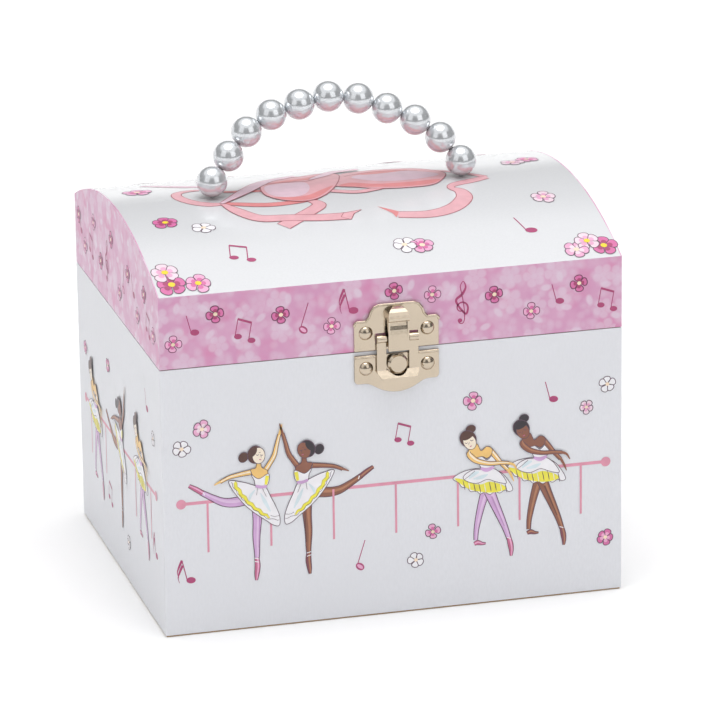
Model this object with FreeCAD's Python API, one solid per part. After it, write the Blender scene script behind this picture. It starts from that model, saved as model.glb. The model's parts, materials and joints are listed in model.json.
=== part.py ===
import FreeCAD, Part
import math
import os
from FreeCAD import Vector

# Ballerina musical jewellery box, lid closed.
# Millimetres. X is the width (left is minus), Y the depth (the front is minus), Z is up.
# The origin is the middle of the face the box stands on.

# Carcass
width = 165.0
depth = 133.0
base_height = 97.0
board = 3.0
paper = 0.4
seam_gap = 0.3
lid_front_height = 26.0
dome_rise = 14.0
dome_board = 2.5
paper_hem = 0.6

# Linings and compartments
floor_lining = 1.0
wall_lining = 0.8
lining_margin = 2.0
divider = 2.0
divider_height = 66.0
bay_half = 38.0
bay_front = 13.0
deck_top = 64.0
ring_bay_left = 4.0
ring_shelf_top = 58.0
ring_roll_count = 5
ring_roll_radius = 6.4
ring_roll_gap = 0.8

# Lid inside
mirror_board_top = 121.0
mirror_board_thick = 2.0
mirror_thick = 1.2
mirror_half_x = 60.0
mirror_half_y = 42.0

# Hinges
hinge_x = 46.0
hinge_half = 10.0
hinge_leaf = 0.8
hinge_leaf_height = 13.0
knuckle_radius = 1.85
knuckle_half = 3.4
knuckle_gap = 0.2
hinge_pin_radius = 0.85
nail_radius = 0.5
nail_length = 3.2
nail_head_radius = 1.3
fit = 0.05

# Pearl handle
pearl_radius = 5.5
pearl_count = 11
wire_radius = 0.7
elbow_swell = 1.06
handle_middle = -1.65
handle_foot_z = 142.7
handle_lean = 23.0
handle_arch = ((-45.4, 0.0), (-38.7, 8.3), (-31.2, 16.4), (-21.8, 21.7), (-11.2, 24.6), (-0.4, 26.6),
               (10.5, 25.1), (20.8, 20.7), (30.9, 15.5), (39.1, 8.6), (45.4, 0.0))

# Latch, heights counted from the seam
latch_x = 1.1
latch_half = 15.1
latch_plate = 0.8
latch_bead = 0.45
latch_round = 0.25
upper_low = 0.4
upper_shoulder = 11.1
upper_top = 16.6
lower_top = -1.2
lower_shoulder = -11.4
lower_point = -15.2
rivet_x = 11.0
rivet_upper_z = 6.9
rivet_lower_z = -5.9
rivet_radius = 2.5
rivet_rise = 1.5
rivet_shank = 0.9
hasp_axis_z = 4.6
hasp_axis_out = 1.65
hasp_bar_radius = 0.7
hasp_knuckle = 1.4
leg_in = 4.1
leg_out = 7.4
leg_thick = 0.8
tongue_half = 3.7
tongue_low = 0.5
tongue_out = 3.9
stud_z = -4.6
stud_radius = 3.6
stud_out = 3.2
stud_play = 0.4

# Musical movement
module = 0.5
barrel_z = 20.0
barrel_radius = 12.5
barrel_wall = 0.8
crown_teeth = 42
crown_mean = 10.5
drum_pinion_teeth = 14
wheel_teeth = 36
pinion_teeth = 12
drum_radius = 6.5
pin_rise = 0.55
comb_teeth = 18
comb_pitch = 1.03
comb_thick = 0.8
tooth_play = 0.16
arbor_radius = 1.6
small_arbor = 0.6
drum_arbor = 0.8
governor_turn = 150.0
stop_rod_radius = 0.8
stop_rod_reach = 8.6
bedplate_thick = 2.0
bedplate_half = 33.0

# Dancer
spindle_radius = 1.25
spring_radius = 2.0
spring_wire = 0.45
spring_turns = 7
spring_height = 8.0
figure_height = 42.5
tutu_radius = 13.0

# Sizes worked out from the ones above
half_w = width / 2
half_d = depth / 2
board_w = half_w - paper
board_d = half_d - paper
inner_w = board_w - board
inner_d = board_d - board
room_w = inner_w - wall_lining
room_d = inner_d - wall_lining
lid_low = base_height + seam_gap
spring_line = base_height + lid_front_height
crown = spring_line + dome_rise
dome_radius = (half_d ** 2 + dome_rise ** 2) / (2 * dome_rise)
dome_centre = crown - dome_radius
pivot_y = half_d + knuckle_radius + fit
pivot_z = base_height + seam_gap / 2
deck_low = deck_top - divider
mirror_board_low = mirror_board_top - mirror_board_thick
mirror_low = mirror_board_low - mirror_thick

pinion_r = module * pinion_teeth / 2
wheel_r = module * wheel_teeth / 2
drum_pinion_r = module * drum_pinion_teeth / 2
bed_y = inner_d - bedplate_thick
barrel_back = bed_y - 1.0
barrel_front = barrel_back - 10.5
crown_tip_y = barrel_front - 1.1 * module * 2
drum_y = crown_tip_y + module - drum_pinion_r
drum_low = barrel_z + 15.0
drum_high = drum_low + 19.0
gear_z = drum_high + 1.5
gear_thick = 1.5
upper_gear_z = gear_z + gear_thick + 1.4
plate_z = upper_gear_z + 2.0
plate_thick = 1.4
lower_plate_z = drum_low + 1.8
bracket_z = barrel_z + 8.2
spindle_y = drum_y - 2 * wheel_r
governor_x = -(wheel_r + pinion_r)
governor_y = drum_y
turn = math.radians(governor_turn)
fan_x = governor_x + (wheel_r + pinion_r) * math.cos(turn)
fan_y = governor_y + (wheel_r + pinion_r) * math.sin(turn)
fan_radius = 6.0
stop_x = fan_x - stop_rod_reach
stop_y = fan_y
lean = math.radians(handle_lean)
handle_feet = (handle_middle + handle_arch[0][0], handle_middle + handle_arch[-1][0])

X = Vector(1, 0, 0)
Y = Vector(0, 1, 0)
Z = Vector(0, 0, 1)


def box(x0, x1, y0, y1, z0, z1):
    return Part.makeBox(x1 - x0, y1 - y0, z1 - z0, Vector(x0, y0, z0))


def rod(radius, start, axis, length):
    return Part.makeCylinder(radius, length, Vector(*start), axis)


def fuse(shapes):
    first = shapes[0]
    if len(shapes) == 1:
        return first
    return first.fuse(shapes[1:]).removeSplitter()


def group(shapes):
    return Part.makeCompound(shapes)


def cut(shape, tools):
    for tool in tools:
        shape = shape.cut(tool)
    return shape


def polygon(points):
    return Part.makePolygon([Vector(*p) for p in points] + [Vector(*points[0])])


def side_prism(points, x0, x1):
    """Outline given in (y, z), pushed along X."""
    wire = polygon([(x0, y, z) for y, z in points])
    return Part.Face(wire).extrude(Vector(x1 - x0, 0, 0))


def front_face(edges):
    return Part.Face(Part.Wire(edges))


def line(a, b):
    return Part.makeLine(Vector(*a), Vector(*b))


def arc(a, b, c):
    return Part.Arc(Vector(*a), Vector(*b), Vector(*c)).toShape()


def involute(angle):
    return math.tan(angle) - angle


def gear(teeth, low, high, x, y, phase):
    """Spur gear about Z with 20 degree flanks and some play between the teeth."""
    pitch = module * teeth / 2
    root = pitch - 1.2 * module
    tip = pitch + 0.9 * module
    base = pitch * math.cos(math.radians(20))
    half_at_pitch = (math.pi * module / 2 - tooth_play) / (2 * pitch)
    flank = []
    for step in range(4):
        radius = max(root, base) + (tip - max(root, base)) * step / 3
        pressure = math.acos(min(1.0, base / radius))
        half = half_at_pitch + involute(math.radians(20)) - involute(pressure)
        flank.append((radius, half))
    points = []
    for tooth in range(teeth):
        middle = math.radians(phase) + 2 * math.pi * tooth / teeth
        left = [(root, flank[0][1])] + flank
        for radius, half in left:
            points.append((x + radius * math.cos(middle - half), y + radius * math.sin(middle - half), low))
        for radius, half in reversed(left):
            points.append((x + radius * math.cos(middle + half), y + radius * math.sin(middle + half), low))
    unique = [p for i, p in enumerate(points) if math.dist(p, points[i - 1]) > 1e-4]
    return Part.Face(polygon(unique)).extrude(Vector(0, 0, high - low))


def dome_outline(radius, half, low):
    """Edges of the D shape of the lid's cross-section, in the plane x = 0."""
    side = dome_centre + math.sqrt(radius ** 2 - half ** 2)
    top = dome_centre + radius
    return [line((0, -half, low), (0, half, low)), line((0, half, low), (0, half, side)),
            arc((0, half, side), (0, 0, top), (0, -half, side)), line((0, -half, side), (0, -half, low))]


def dome_solid(radius, half, low, x0, x1):
    face = Part.Face(Part.Wire(dome_outline(radius, half, low)))
    face.translate(Vector(x0, 0, 0))
    return face.extrude(Vector(x1 - x0, 0, 0))


# Holes shared by the boards and papers

def hinge_nail_spots(z):
    return [(sx * hinge_x + dx, z) for sx in (-1, 1) for dx in (-6.0, 6.0)]


base_nail_z = pivot_z - 8.5
lid_nail_z = pivot_z + 8.5


def back_holes():
    holes = [rod(3.0, (0, inner_d - 1, barrel_z), Y, board + 3)]
    for x, z in hinge_nail_spots(base_nail_z):
        holes.append(rod(nail_radius + fit, (x, half_d + hinge_leaf - nail_length, z), Y, nail_length + 1))
    for x, z in bed_screw_spots():
        holes.append(rod(1.1 + fit, (x, inner_d - 1, z), Y, 3.5))
    return holes


def lid_back_holes():
    holes = []
    for x, z in hinge_nail_spots(lid_nail_z):
        holes.append(rod(nail_radius + fit, (x, half_d + hinge_leaf - nail_length, z), Y, nail_length + 1))
    return holes


def latch_holes(z, extra=fit):
    return [rod(rivet_shank + extra, (latch_x + sx * rivet_x, -half_d - 1, base_height + z), Y, 4.0)
            for sx in (-1, 1)]


def stud_hole():
    return rod(1.2 + fit, (latch_x, -half_d - 1, base_height + stud_z), Y, 4.0)


def bed_screw_spots():
    return [(-29.5, barrel_z - 8), (29.5, barrel_z - 8), (14.0, plate_z - 2)]


# Base

def bottom_panel():
    return box(-board_w, board_w, -board_d, board_d, 0, board)


def front_panel():
    panel = box(-board_w, board_w, -board_d, -inner_d, board, base_height)
    return cut(panel, latch_holes(rivet_lower_z) + [stud_hole()])


def back_panel():
    panel = box(-board_w, board_w, inner_d, board_d, board, base_height)
    return cut(panel, back_holes())


def side_panel(side):
    panel = box(inner_w, board_w, -inner_d, inner_d, board, base_height)
    if side < 0:
        panel.translate(Vector(-inner_w - board_w, 0, 0))
    return panel


def base_paper_wrap():
    outer = box(-half_w, half_w, -half_d, half_d, paper_hem, base_height)
    inner = box(-board_w, board_w, -board_d, board_d, 0, base_height + 1)
    return cut(outer.cut(inner), back_holes() + latch_holes(rivet_lower_z) + [stud_hole()])


def lining_floor_sheet():
    sheet = box(-inner_w, inner_w, -inner_d, inner_d, board, board + floor_lining)
    return sheet.cut(box(-bay_half, bay_half, bay_front, inner_d + 1, 0, 10))


def lining_wall_sheets():
    low = board + floor_lining
    high = base_height - lining_margin
    outer = box(-inner_w, inner_w, -inner_d, inner_d, low, high)
    inner = box(-room_w, room_w, -room_d, room_d, 0, high + 1)
    bay = box(-bay_half, bay_half, room_d - 1, inner_d + 1, 0, deck_top)
    return outer.cut(inner).cut(bay)


def movement_cover():
    low = board
    outer = box(-bay_half, bay_half, bay_front, inner_d, low, deck_top)
    hollow = box(-bay_half + divider, bay_half - divider, bay_front + divider, inner_d + 1, 0, deck_low)
    bush_hole = rod(3.0 + fit, (0, spindle_y, deck_low - 1), Z, 5)
    rod_hole = rod(stop_rod_radius + fit, (stop_x, stop_y, deck_low - 1), Z, 5)
    return cut(outer, [hollow, bush_hole, rod_hole])


def compartment_dividers():
    low = board + floor_lining
    middle = box(ring_bay_left - divider, ring_bay_left, -room_d, bay_front, low, divider_height)
    left = box(-room_w, -bay_half, bay_front, bay_front + divider, low, divider_height)
    right = box(bay_half, room_w, bay_front, bay_front + divider, low, divider_height)
    return group([middle, left, right])


def ring_shelf():
    return box(ring_bay_left, room_w, -room_d, bay_front, ring_shelf_top - divider, ring_shelf_top)


def ring_rolls():
    pitch = (bay_front + room_d) / ring_roll_count
    rolls = []
    for index in range(ring_roll_count):
        y = -room_d + pitch * (index + 0.5)
        roll = rod(ring_roll_radius, (ring_bay_left + ring_roll_gap, y, 0), X,
                   room_w - ring_bay_left - 2 * ring_roll_gap)
        roll.translate(Vector(0, 0, ring_shelf_top + ring_roll_radius))
        rolls.append(roll)
    return group(rolls)


# Lid

def lid_wall(sign):
    y0, y1 = sorted((sign * board_d, sign * inner_d))
    wall = box(-inner_w, inner_w, y0, y1, lid_low, crown)
    under_dome = dome_solid(dome_radius - paper - dome_board, board_d, lid_low - 1, -half_w, half_w)
    return wall.common(under_dome)


def lid_front_panel():
    return cut(lid_wall(-1), latch_holes(rivet_upper_z))


def lid_back_panel():
    return cut(lid_wall(1), lid_back_holes())


def lid_end(sign):
    x0, x1 = sorted((sign * inner_w, sign * board_w))
    return dome_solid(dome_radius - paper, board_d, lid_low, x0, x1)


def handle_holes(low, high, radius):
    return [rod(radius, (x, 0, low), Z, high - low) for x in handle_feet]


def lid_dome_panel():
    outer = dome_solid(dome_radius - paper, board_d, lid_low, -inner_w, inner_w)
    inner = dome_solid(dome_radius - paper - dome_board, board_d + 1, lid_low - 1, -half_w, half_w)
    return cut(outer.cut(inner), handle_holes(crown - 6, crown + 1, wire_radius + fit))


def lid_band_paper():
    outer = dome_solid(dome_radius, half_d, lid_low, -half_w, half_w)
    inner = box(-board_w, board_w, -board_d, board_d, lid_low - 1, crown + 1)
    top = dome_solid(dome_radius + 5, half_d + 1, spring_line, -board_w, board_w)
    return cut(outer, [inner, top] + lid_back_holes() + latch_holes(rivet_upper_z))


def lid_top_paper():
    outer = dome_solid(dome_radius, half_d, lid_low, -board_w, board_w)
    inner = dome_solid(dome_radius - paper, board_d, lid_low - 1, -half_w, half_w)
    below = box(-half_w, half_w, -half_d, half_d, 0, spring_line)
    return cut(outer, [inner, below] + handle_holes(crown - 6, crown + 1, wire_radius + fit))


def lid_lining():
    outer = box(-inner_w, inner_w, -inner_d, inner_d, lid_low + lining_margin, mirror_board_low)
    inner = box(-room_w, room_w, -room_d, room_d, lid_low, mirror_board_low + 1)
    return outer.cut(inner)


def mirror_board():
    return box(-inner_w + 0.2, inner_w - 0.2, -inner_d + 0.2, inner_d - 0.2, mirror_board_low, mirror_board_top)


def mirror():
    return box(-mirror_half_x, mirror_half_x, -mirror_half_y, mirror_half_y, mirror_low, mirror_board_low)


# Hinges

def hinge_leaf_plate(x, up, middle):
    """One leaf with its knuckles; up is +1 for the lid and -1 for the base."""
    clear = knuckle_radius + 0.35
    near, far = sorted((up * clear, up * hinge_leaf_height))
    y0 = half_d + fit
    y1 = y0 + hinge_leaf
    pieces = [box(x - hinge_half, x + hinge_half, y0, y1, pivot_z + near, pivot_z + far)]
    if middle:
        spans = [(-knuckle_half + knuckle_gap, knuckle_half - knuckle_gap)]
    else:
        spans = [(-hinge_half, -knuckle_half), (knuckle_half, hinge_half)]
    for a, b in spans:
        low, high = sorted((0, up * (clear + 0.2)))
        pieces.append(box(x + a, x + b, y0, y1, pivot_z + low, pivot_z + high))
        pieces.append(rod(knuckle_radius, (x + a, pivot_y, pivot_z), X, b - a))
    leaf = fuse(pieces)
    return leaf.cut(rod(hinge_pin_radius + fit, (x - hinge_half - 1, pivot_y, pivot_z), X, 2 * hinge_half + 2))


def hinge_leaves(up, middle, nail_z):
    leaves = []
    for sx in (-1, 1):
        leaf = hinge_leaf_plate(sx * hinge_x, up, middle)
        for x, z in hinge_nail_spots(nail_z):
            leaf = leaf.cut(rod(nail_radius + fit, (x, half_d - 1, z), Y, 4))
        leaves.append(leaf)
    return group(leaves)


def hinge_pins():
    pins = []
    for sx in (-1, 1):
        start = sx * hinge_x - hinge_half - 0.4
        pins.append(rod(hinge_pin_radius, (start, pivot_y, pivot_z), X, 2 * hinge_half + 0.8))
    return group(pins)


def hinge_nails(z_at):
    nails = []
    face = half_d + fit + hinge_leaf
    for x, z in hinge_nail_spots(z_at):
        shank = rod(nail_radius, (x, face - nail_length, z), Y, nail_length)
        ball = Part.makeSphere(1.6, Vector(x, face - 0.9, z))
        head = ball.common(rod(nail_head_radius, (x, face, z), Y, 2))
        nails.append(fuse([shank, head]))
    return group(nails)


# Pearl handle

def handle_path():
    """The arch of the handle, leaning back from its two feet on the crown."""
    curve = Part.BSplineCurve()
    curve.interpolate([Vector(handle_middle + along, up * math.sin(lean), handle_foot_z + up * math.cos(lean))
                       for along, up in handle_arch])
    return curve.toShape()


def pearl_centres():
    return handle_path().discretize(Number=pearl_count)


def handle_wire_shape(radius, tail):
    arch = handle_path()
    first = arch.valueAt(arch.FirstParameter)
    last = arch.valueAt(arch.LastParameter)
    start_direction = arch.tangentAt(arch.FirstParameter)
    profile = Part.Wire(Part.makeCircle(radius, first, start_direction))
    sweep = Part.Wire(arch).makePipeShell([profile], True, True)
    pieces = [sweep]
    for point in (first, last):
        pieces.append(Part.makeSphere(elbow_swell * radius, point))
        pieces.append(rod(radius, (point.x, 0, tail), Z, point.z - tail))
    return fuse(pieces)


wire_tail = crown - 7.0


def handle_wire():
    return handle_wire_shape(wire_radius, wire_tail)


def handle_washers():
    pieces = []
    top = crown - paper - dome_board - 0.1
    for x in handle_feet:
        washer = rod(4.0, (x, 0, top - 0.8), Z, 0.8)
        sleeve = rod(1.5, (x, 0, wire_tail + 0.3), Z, top - 0.8 - wire_tail - 0.3)
        ring = fuse([washer, sleeve]).cut(rod(wire_radius + 0.02, (x, 0, wire_tail - 1), Z, 10))
        pieces.append(ring)
    return group(pieces)


def handle_pearls():
    bore = handle_wire_shape(wire_radius + 0.1, crown + 0.2)
    return group([Part.makeSphere(pearl_radius, centre).cut(bore) for centre in pearl_centres()])


# Latch, drawn on the front face; x counts from its middle and out from that face

def on_front(x, z, out=0.0):
    return (latch_x + x, -half_d - out, base_height + z)


def front_curve(points):
    curve = Part.BSplineCurve()
    curve.interpolate([Vector(*on_front(x, z)) for x, z in points])
    return curve.toShape()


def plate_outline(edge, shoulder, corner, curve, middle):
    """Half a plate's outline given from the seam edge to its middle, and mirrored for the other half."""
    sag = 0.3 * corner
    turned = math.copysign(corner, shoulder)
    bend = math.copysign(sag, shoulder)
    edges = [line(on_front(-latch_half, edge), on_front(latch_half, edge))]
    for side in (1, -1):
        half = side * latch_half
        inward = side * corner
        edges += [line(on_front(half, edge), on_front(half, shoulder - turned)),
                  arc(on_front(half, shoulder - turned), on_front(half - side * sag, shoulder - bend),
                      on_front(half - inward, shoulder)),
                  line(on_front(half - inward, shoulder), on_front(side * curve[0][0], curve[0][1])),
                  front_curve([(side * x, z) for x, z in curve])]
    if middle:
        edges.append(line(on_front(-curve[-1][0], curve[-1][1]), on_front(*curve[-1])))
    return front_face(Part.__sortEdges__(edges))


def upper_outline():
    rise = [(11.0, upper_shoulder), (10.0, upper_shoulder + 0.9), (9.4, upper_shoulder + 2.7),
            (8.4, upper_top - 1.1), (6.3, upper_top)]
    return plate_outline(upper_low, upper_shoulder, 1.2, rise, True)


def lower_outline():
    drop = [(11.2, lower_shoulder), (9.0, lower_shoulder - 0.7), (6.2, lower_point + 1.5),
            (3.0, lower_point + 0.35), (0.0, lower_point)]
    return plate_outline(lower_top, lower_shoulder, 1.4, drop, False)


def front_bar(radius, x0, x1, z, out):
    return rod(radius, on_front(x0, z, out), X, x1 - x0)


def latch_prism(profile, half):
    """Profile given as (out, z), as wide as half each way from the latch's middle."""
    outline = [(-half_d - out, base_height + z) for out, z in profile]
    return side_prism(outline, latch_x - half, latch_x + half)


def rounded_plate(outline):
    """Pressed plate: its front edges are rounded over."""
    plate = outline.extrude(Vector(0, -latch_plate, 0))
    front = -half_d - latch_plate
    edges = [e for e in plate.Edges if all(abs(v.Y - front) < 1e-6 for v in e.Vertexes)]
    return plate.makeFillet(latch_round, edges)


def top_bead(outline, low):
    """Round rim along the plate's upper edges."""
    out = Vector(0, -latch_plate, 0)
    pieces = []
    for edge in outline.Edges:
        if edge.BoundBox.ZMin < base_height + low:
            continue
        straight = isinstance(edge.Curve, Part.Line)
        points = edge.discretize(Number=2 if straight else 5)
        for a, b in zip(points, points[1:]):
            pieces.append(Part.makeSphere(latch_bead, a + out))
            pieces.append(Part.makeCylinder(latch_bead, a.distanceToPoint(b), a + out, b - a))
        pieces.append(Part.makeSphere(latch_bead, points[-1] + out))
    return fuse(pieces)


def latch_tongue():
    """Centre strap of the lid plate: a rounded lip at the top, then a scooped face down to its lower edge."""
    back = tongue_out - 0.8
    profile = [(0.2, 15.9), (1.5, 15.9), (2.7, 15.3), (3.7, 14.3), (4.3, 13.2), (4.6, 12.2), (4.5, 11.4),
               (tongue_out, 10.9), (tongue_out, tongue_low), (back, tongue_low), (back, 7.0), (2.2, 9.6),
               (1.6, 11.4), (0.2, 12.4)]
    strap = latch_prism(profile, tongue_half)
    shoulder = 13.2
    crown_half = 1.4
    face = front_face([
        line(on_front(-tongue_half, 0), on_front(tongue_half, 0)),
        line(on_front(tongue_half, 0), on_front(tongue_half, shoulder)),
        arc(on_front(tongue_half, shoulder), on_front(tongue_half - 0.8, shoulder + 1.7),
            on_front(crown_half, 15.9)),
        line(on_front(crown_half, 15.9), on_front(-crown_half, 15.9)),
        arc(on_front(-crown_half, 15.9), on_front(-tongue_half + 0.8, shoulder + 1.7),
            on_front(-tongue_half, shoulder)),
        line(on_front(-tongue_half, shoulder), on_front(-tongue_half, 0))])
    strap = strap.common(face.extrude(Vector(0, -10, 0)))
    depth = [(1.0, 10.8), (0.6, 9.4), (0.3, 8.0), (0.1, 6.4), (0.0, 4.6)]
    scoop = [(tongue_out + 0.2, 10.8)] + [(tongue_out - deep, z) for deep, z in depth] + [(tongue_out + 0.2, 4.4)]
    return strap.cut(latch_prism(scoop, tongue_half - 0.6))


def latch_upper_plate():
    plate = fuse([rounded_plate(upper_outline()), top_bead(upper_outline(), 9.0), latch_tongue()])
    slots = []
    for sign in (-1, 1):
        x0, x1 = sorted((sign * (leg_in - 0.2), sign * (leg_out + 0.25)))
        slots.append(box(latch_x + x0, latch_x + x1, -half_d - 2.5, -half_d + 1,
                         base_height + hasp_axis_z - 1.9, base_height + hasp_axis_z + 1.9))
    return cut(plate, slots + latch_holes(rivet_upper_z))


def latch_lower_plate():
    beads = [front_bar(0.55, -latch_half + 0.3, -leg_out - 0.4, lower_top - 0.45, latch_plate - 0.05),
             front_bar(0.55, leg_out + 0.4, latch_half - 0.3, lower_top - 0.45, latch_plate - 0.05)]
    plate = fuse([rounded_plate(lower_outline())] + beads)
    return cut(plate, latch_holes(rivet_lower_z) + [stud_hole()])


def latch_rivets(z):
    rivets = []
    face = half_d + latch_plate
    ball_radius = (rivet_radius ** 2 + rivet_rise ** 2) / (2 * rivet_rise)
    for sign in (-1, 1):
        x = latch_x + sign * rivet_x
        height = base_height + z
        ball = Part.makeSphere(ball_radius, Vector(x, -face - rivet_rise + ball_radius, height))
        head = ball.common(rod(rivet_radius + 1, (x, -face - 3, height), Y, 3))
        shank = rod(rivet_shank, (x, -face, height), Y, 3.0)
        rivets.append(fuse([head, shank]))
    return group(rivets)


def latch_stud():
    height = base_height + stud_z
    bevel = 0.8
    under_cap = 1.5
    neck = rod(2.2, (latch_x, -half_d - under_cap - 0.1, height), Y, under_cap + 0.1 - latch_plate)
    pin = rod(1.2, (latch_x, -half_d - latch_plate, height), Y, 3.0)
    cap = Part.makeCone(stud_radius - 0.7, stud_radius, bevel, Vector(latch_x, -half_d - stud_out, height), Y)
    rim = rod(stud_radius, (latch_x, -half_d - stud_out + bevel, height), Y, stud_out - bevel - under_cap)
    return fuse([neck, pin, cap, rim])


def latch_hasp():
    """Two legs hung on a crossbar; below the stud they turn out into one faceted thumb tab."""
    out_back = hasp_axis_out - 0.35
    out_front = out_back + leg_thick
    knee = -6.7
    brow = -9.0
    tip = -13.6
    pieces = [front_bar(hasp_bar_radius, -leg_out, leg_out, hasp_axis_z, hasp_axis_out)]
    for sign in (-1, 1):
        x0, x1 = sorted((sign * leg_in, sign * leg_out))
        leg = [(out_back, hasp_axis_z), (out_front, hasp_axis_z), (out_front, knee - 0.1), (out_back, knee - 0.5)]
        outline = [(-half_d - out, base_height + z) for out, z in leg]
        pieces.append(side_prism(outline, latch_x + x0, latch_x + x1))
        pieces.append(front_bar(hasp_knuckle, x0, x1, hasp_axis_z, hasp_axis_out))
    bent = latch_prism([(out_back, knee), (out_front, knee), (out_front + 2.2, brow), (out_front + 1.5, tip),
                        (out_front + 0.7, tip), (out_front + 1.4, brow - 0.3), (out_back, knee - 0.5)], leg_out)
    outline = front_face([
        line(on_front(-leg_out, 0), on_front(leg_out, 0)),
        line(on_front(leg_out, 0), on_front(leg_out, knee - 0.9)),
        line(on_front(leg_out, knee - 0.9), on_front(4.2, -11.5)),
        line(on_front(4.2, -11.5), on_front(1.2, tip + 0.4)),
        arc(on_front(1.2, tip + 0.4), on_front(0, tip), on_front(-1.2, tip + 0.4)),
        line(on_front(-1.2, tip + 0.4), on_front(-4.2, -11.5)),
        line(on_front(-4.2, -11.5), on_front(-leg_out, knee - 0.9)),
        line(on_front(-leg_out, knee - 0.9), on_front(-leg_out, 0))])
    bent = bent.common(outline.extrude(Vector(0, -10, 0)))
    around_stud = rod(stud_radius + stud_play, (latch_x, -half_d - 10, base_height + stud_z), Y, 10)
    return fuse(pieces + [bent.cut(around_stud)])


# Musical movement

def movement_bedplate():
    plate = box(-bedplate_half, bedplate_half, bed_y, inner_d, barrel_z - 12, plate_z + plate_thick)
    lug = box(21.0, 30.0, drum_y + comb_thick / 2, bed_y, drum_low, drum_high)
    plate = fuse([plate, lug])
    holes = [rod(arbor_radius + fit, (0, bed_y - 1, barrel_z), Y, 6)]
    for x, z in bed_screw_spots():
        holes.append(rod(1.1 + fit, (x, bed_y - 1, z), Y, 6))
    for z in comb_screw_heights():
        holes.append(rod(1.0 + fit, (26.0, drum_y - 2, z), Y, 9))
    return cut(plate, holes)


def comb_screw_heights():
    return (drum_low + 4.0, drum_high - 4.0)


def slotted_screw(x, z, head_y, head_radius, head_thick, shank_radius, length):
    head = rod(head_radius, (x, head_y - head_thick, z), Y, head_thick)
    slot = box(x - head_radius, x + head_radius, head_y - head_thick - 1, head_y - head_thick + 0.5,
               z - 0.25, z + 0.25)
    return fuse([head.cut(slot), rod(shank_radius, (x, head_y, z), Y, length)])


def movement_screws():
    return group([slotted_screw(x, z, bed_y, 2.2, 1.2, 1.1, 4.2) for x, z in bed_screw_spots()])


def comb_screws():
    face = drum_y - comb_thick / 2
    return group([slotted_screw(26.0, z, face, 2.0, 1.2, 1.0, 6.5) for z in comb_screw_heights()])


def comb():
    tip = drum_radius + pin_rise + 0.12
    low = (drum_low + drum_high) / 2 - comb_pitch * comb_teeth / 2
    y0 = drum_y - comb_thick / 2
    y1 = drum_y + comb_thick / 2
    pieces = [box(20.0, 30.0, y0, y1, low, low + comb_pitch * comb_teeth)]
    for tooth in range(comb_teeth):
        z = low + comb_pitch * (tooth + 0.5)
        root = 20.2
        reach = tip + 0.01 * tooth
        pieces.append(box(reach, root, y0 + 0.2, y1, z - 0.36, z + 0.36))
    plate = fuse(pieces)
    return cut(plate, [rod(1.0 + fit, (26.0, drum_y - 2, z), Y, 4) for z in comb_screw_heights()])


def cylinder_bracket():
    low = bracket_z
    y_front = drum_y - 2.2
    arm = box(-17, 17, y_front, drum_y + 2.2, low, low + plate_thick)
    legs = [box(-17, -15, y_front, bed_y, low, low + 5), box(15, 17, y_front, bed_y, low, low + 5)]
    lower = fuse([arm] + legs)
    upper = fuse([box(-5, 5, y_front, bed_y, plate_z, plate_z + plate_thick),
                  box(-5, 5, bed_y - plate_thick, bed_y, plate_z - 5, plate_z + plate_thick)])
    hole = rod(drum_arbor + fit, (0, drum_y, low - 1), Z, plate_z + 4 - low)
    return group([lower.cut(hole), upper.cut(hole)])


def governor_frame():
    y_front = drum_y - 2.5
    top = box(-bedplate_half, -7, y_front, bed_y, plate_z, plate_z + plate_thick)
    bottom = box(-bedplate_half, -8.2, y_front, bed_y, lower_plate_z, lower_plate_z + plate_thick)
    strap = box(-bedplate_half, -8.2, bed_y - plate_thick, bed_y, lower_plate_z, plate_z + plate_thick)
    frame = fuse([top, bottom, strap])
    holes = []
    for x, y in ((governor_x, governor_y), (fan_x, fan_y)):
        holes.append(rod(small_arbor + fit, (x, y, lower_plate_z - 1), Z, plate_z - lower_plate_z + 4))
    holes.append(rod(stop_rod_radius + fit, (stop_x, stop_y, lower_plate_z - 1), Z, plate_z - lower_plate_z + 4))
    return cut(frame, holes)


def key_escutcheon():
    ring = rod(7.0, (0, half_d, barrel_z), Y, 0.9)
    return ring.cut(rod(arbor_radius + 1.2, (0, half_d - 1, barrel_z), Y, 4))


def spindle_bush():
    sleeve = rod(3.0, (0, spindle_y, gear_z + gear_thick + 1.2), Z, deck_top - gear_z - gear_thick - 1.2)
    flange = rod(4.5, (0, spindle_y, deck_top), Z, 0.8)
    return fuse([sleeve, flange]).cut(rod(spindle_radius + fit, (0, spindle_y, gear_z), Z, 30))


def crown_tooth():
    """One radial tooth of the barrel's crown gear, standing at the top of the barrel."""
    tip_y = crown_tip_y + 0.05
    root_y = barrel_front + 0.2
    tip_half = 0.16
    root_half = 0.50
    z0 = barrel_z + crown_mean - 1.3
    z1 = barrel_z + crown_mean + 1.3
    outline = polygon([(-root_half, root_y, z0), (-tip_half, tip_y, z0), (tip_half, tip_y, z0),
                       (root_half, root_y, z0)])
    return Part.Face(outline).extrude(Vector(0, 0, z1 - z0))


def spring_barrel():
    cup = rod(barrel_radius, (0, barrel_front, barrel_z), Y, barrel_back - barrel_front - 0.9)
    inside = rod(barrel_radius - barrel_wall, (0, barrel_front + 1.0, barrel_z), Y, 20)
    cup = cup.cut(inside)
    teeth = []
    for index in range(crown_teeth):
        tooth = crown_tooth()
        tooth.rotate(Vector(0, 0, barrel_z), Y, 360.0 * (index + 0.5) / crown_teeth)
        teeth.append(tooth)
    barrel = fuse([cup] + teeth)
    return barrel.cut(rod(arbor_radius + fit, (0, barrel_front - 3, barrel_z), Y, 20))


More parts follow.
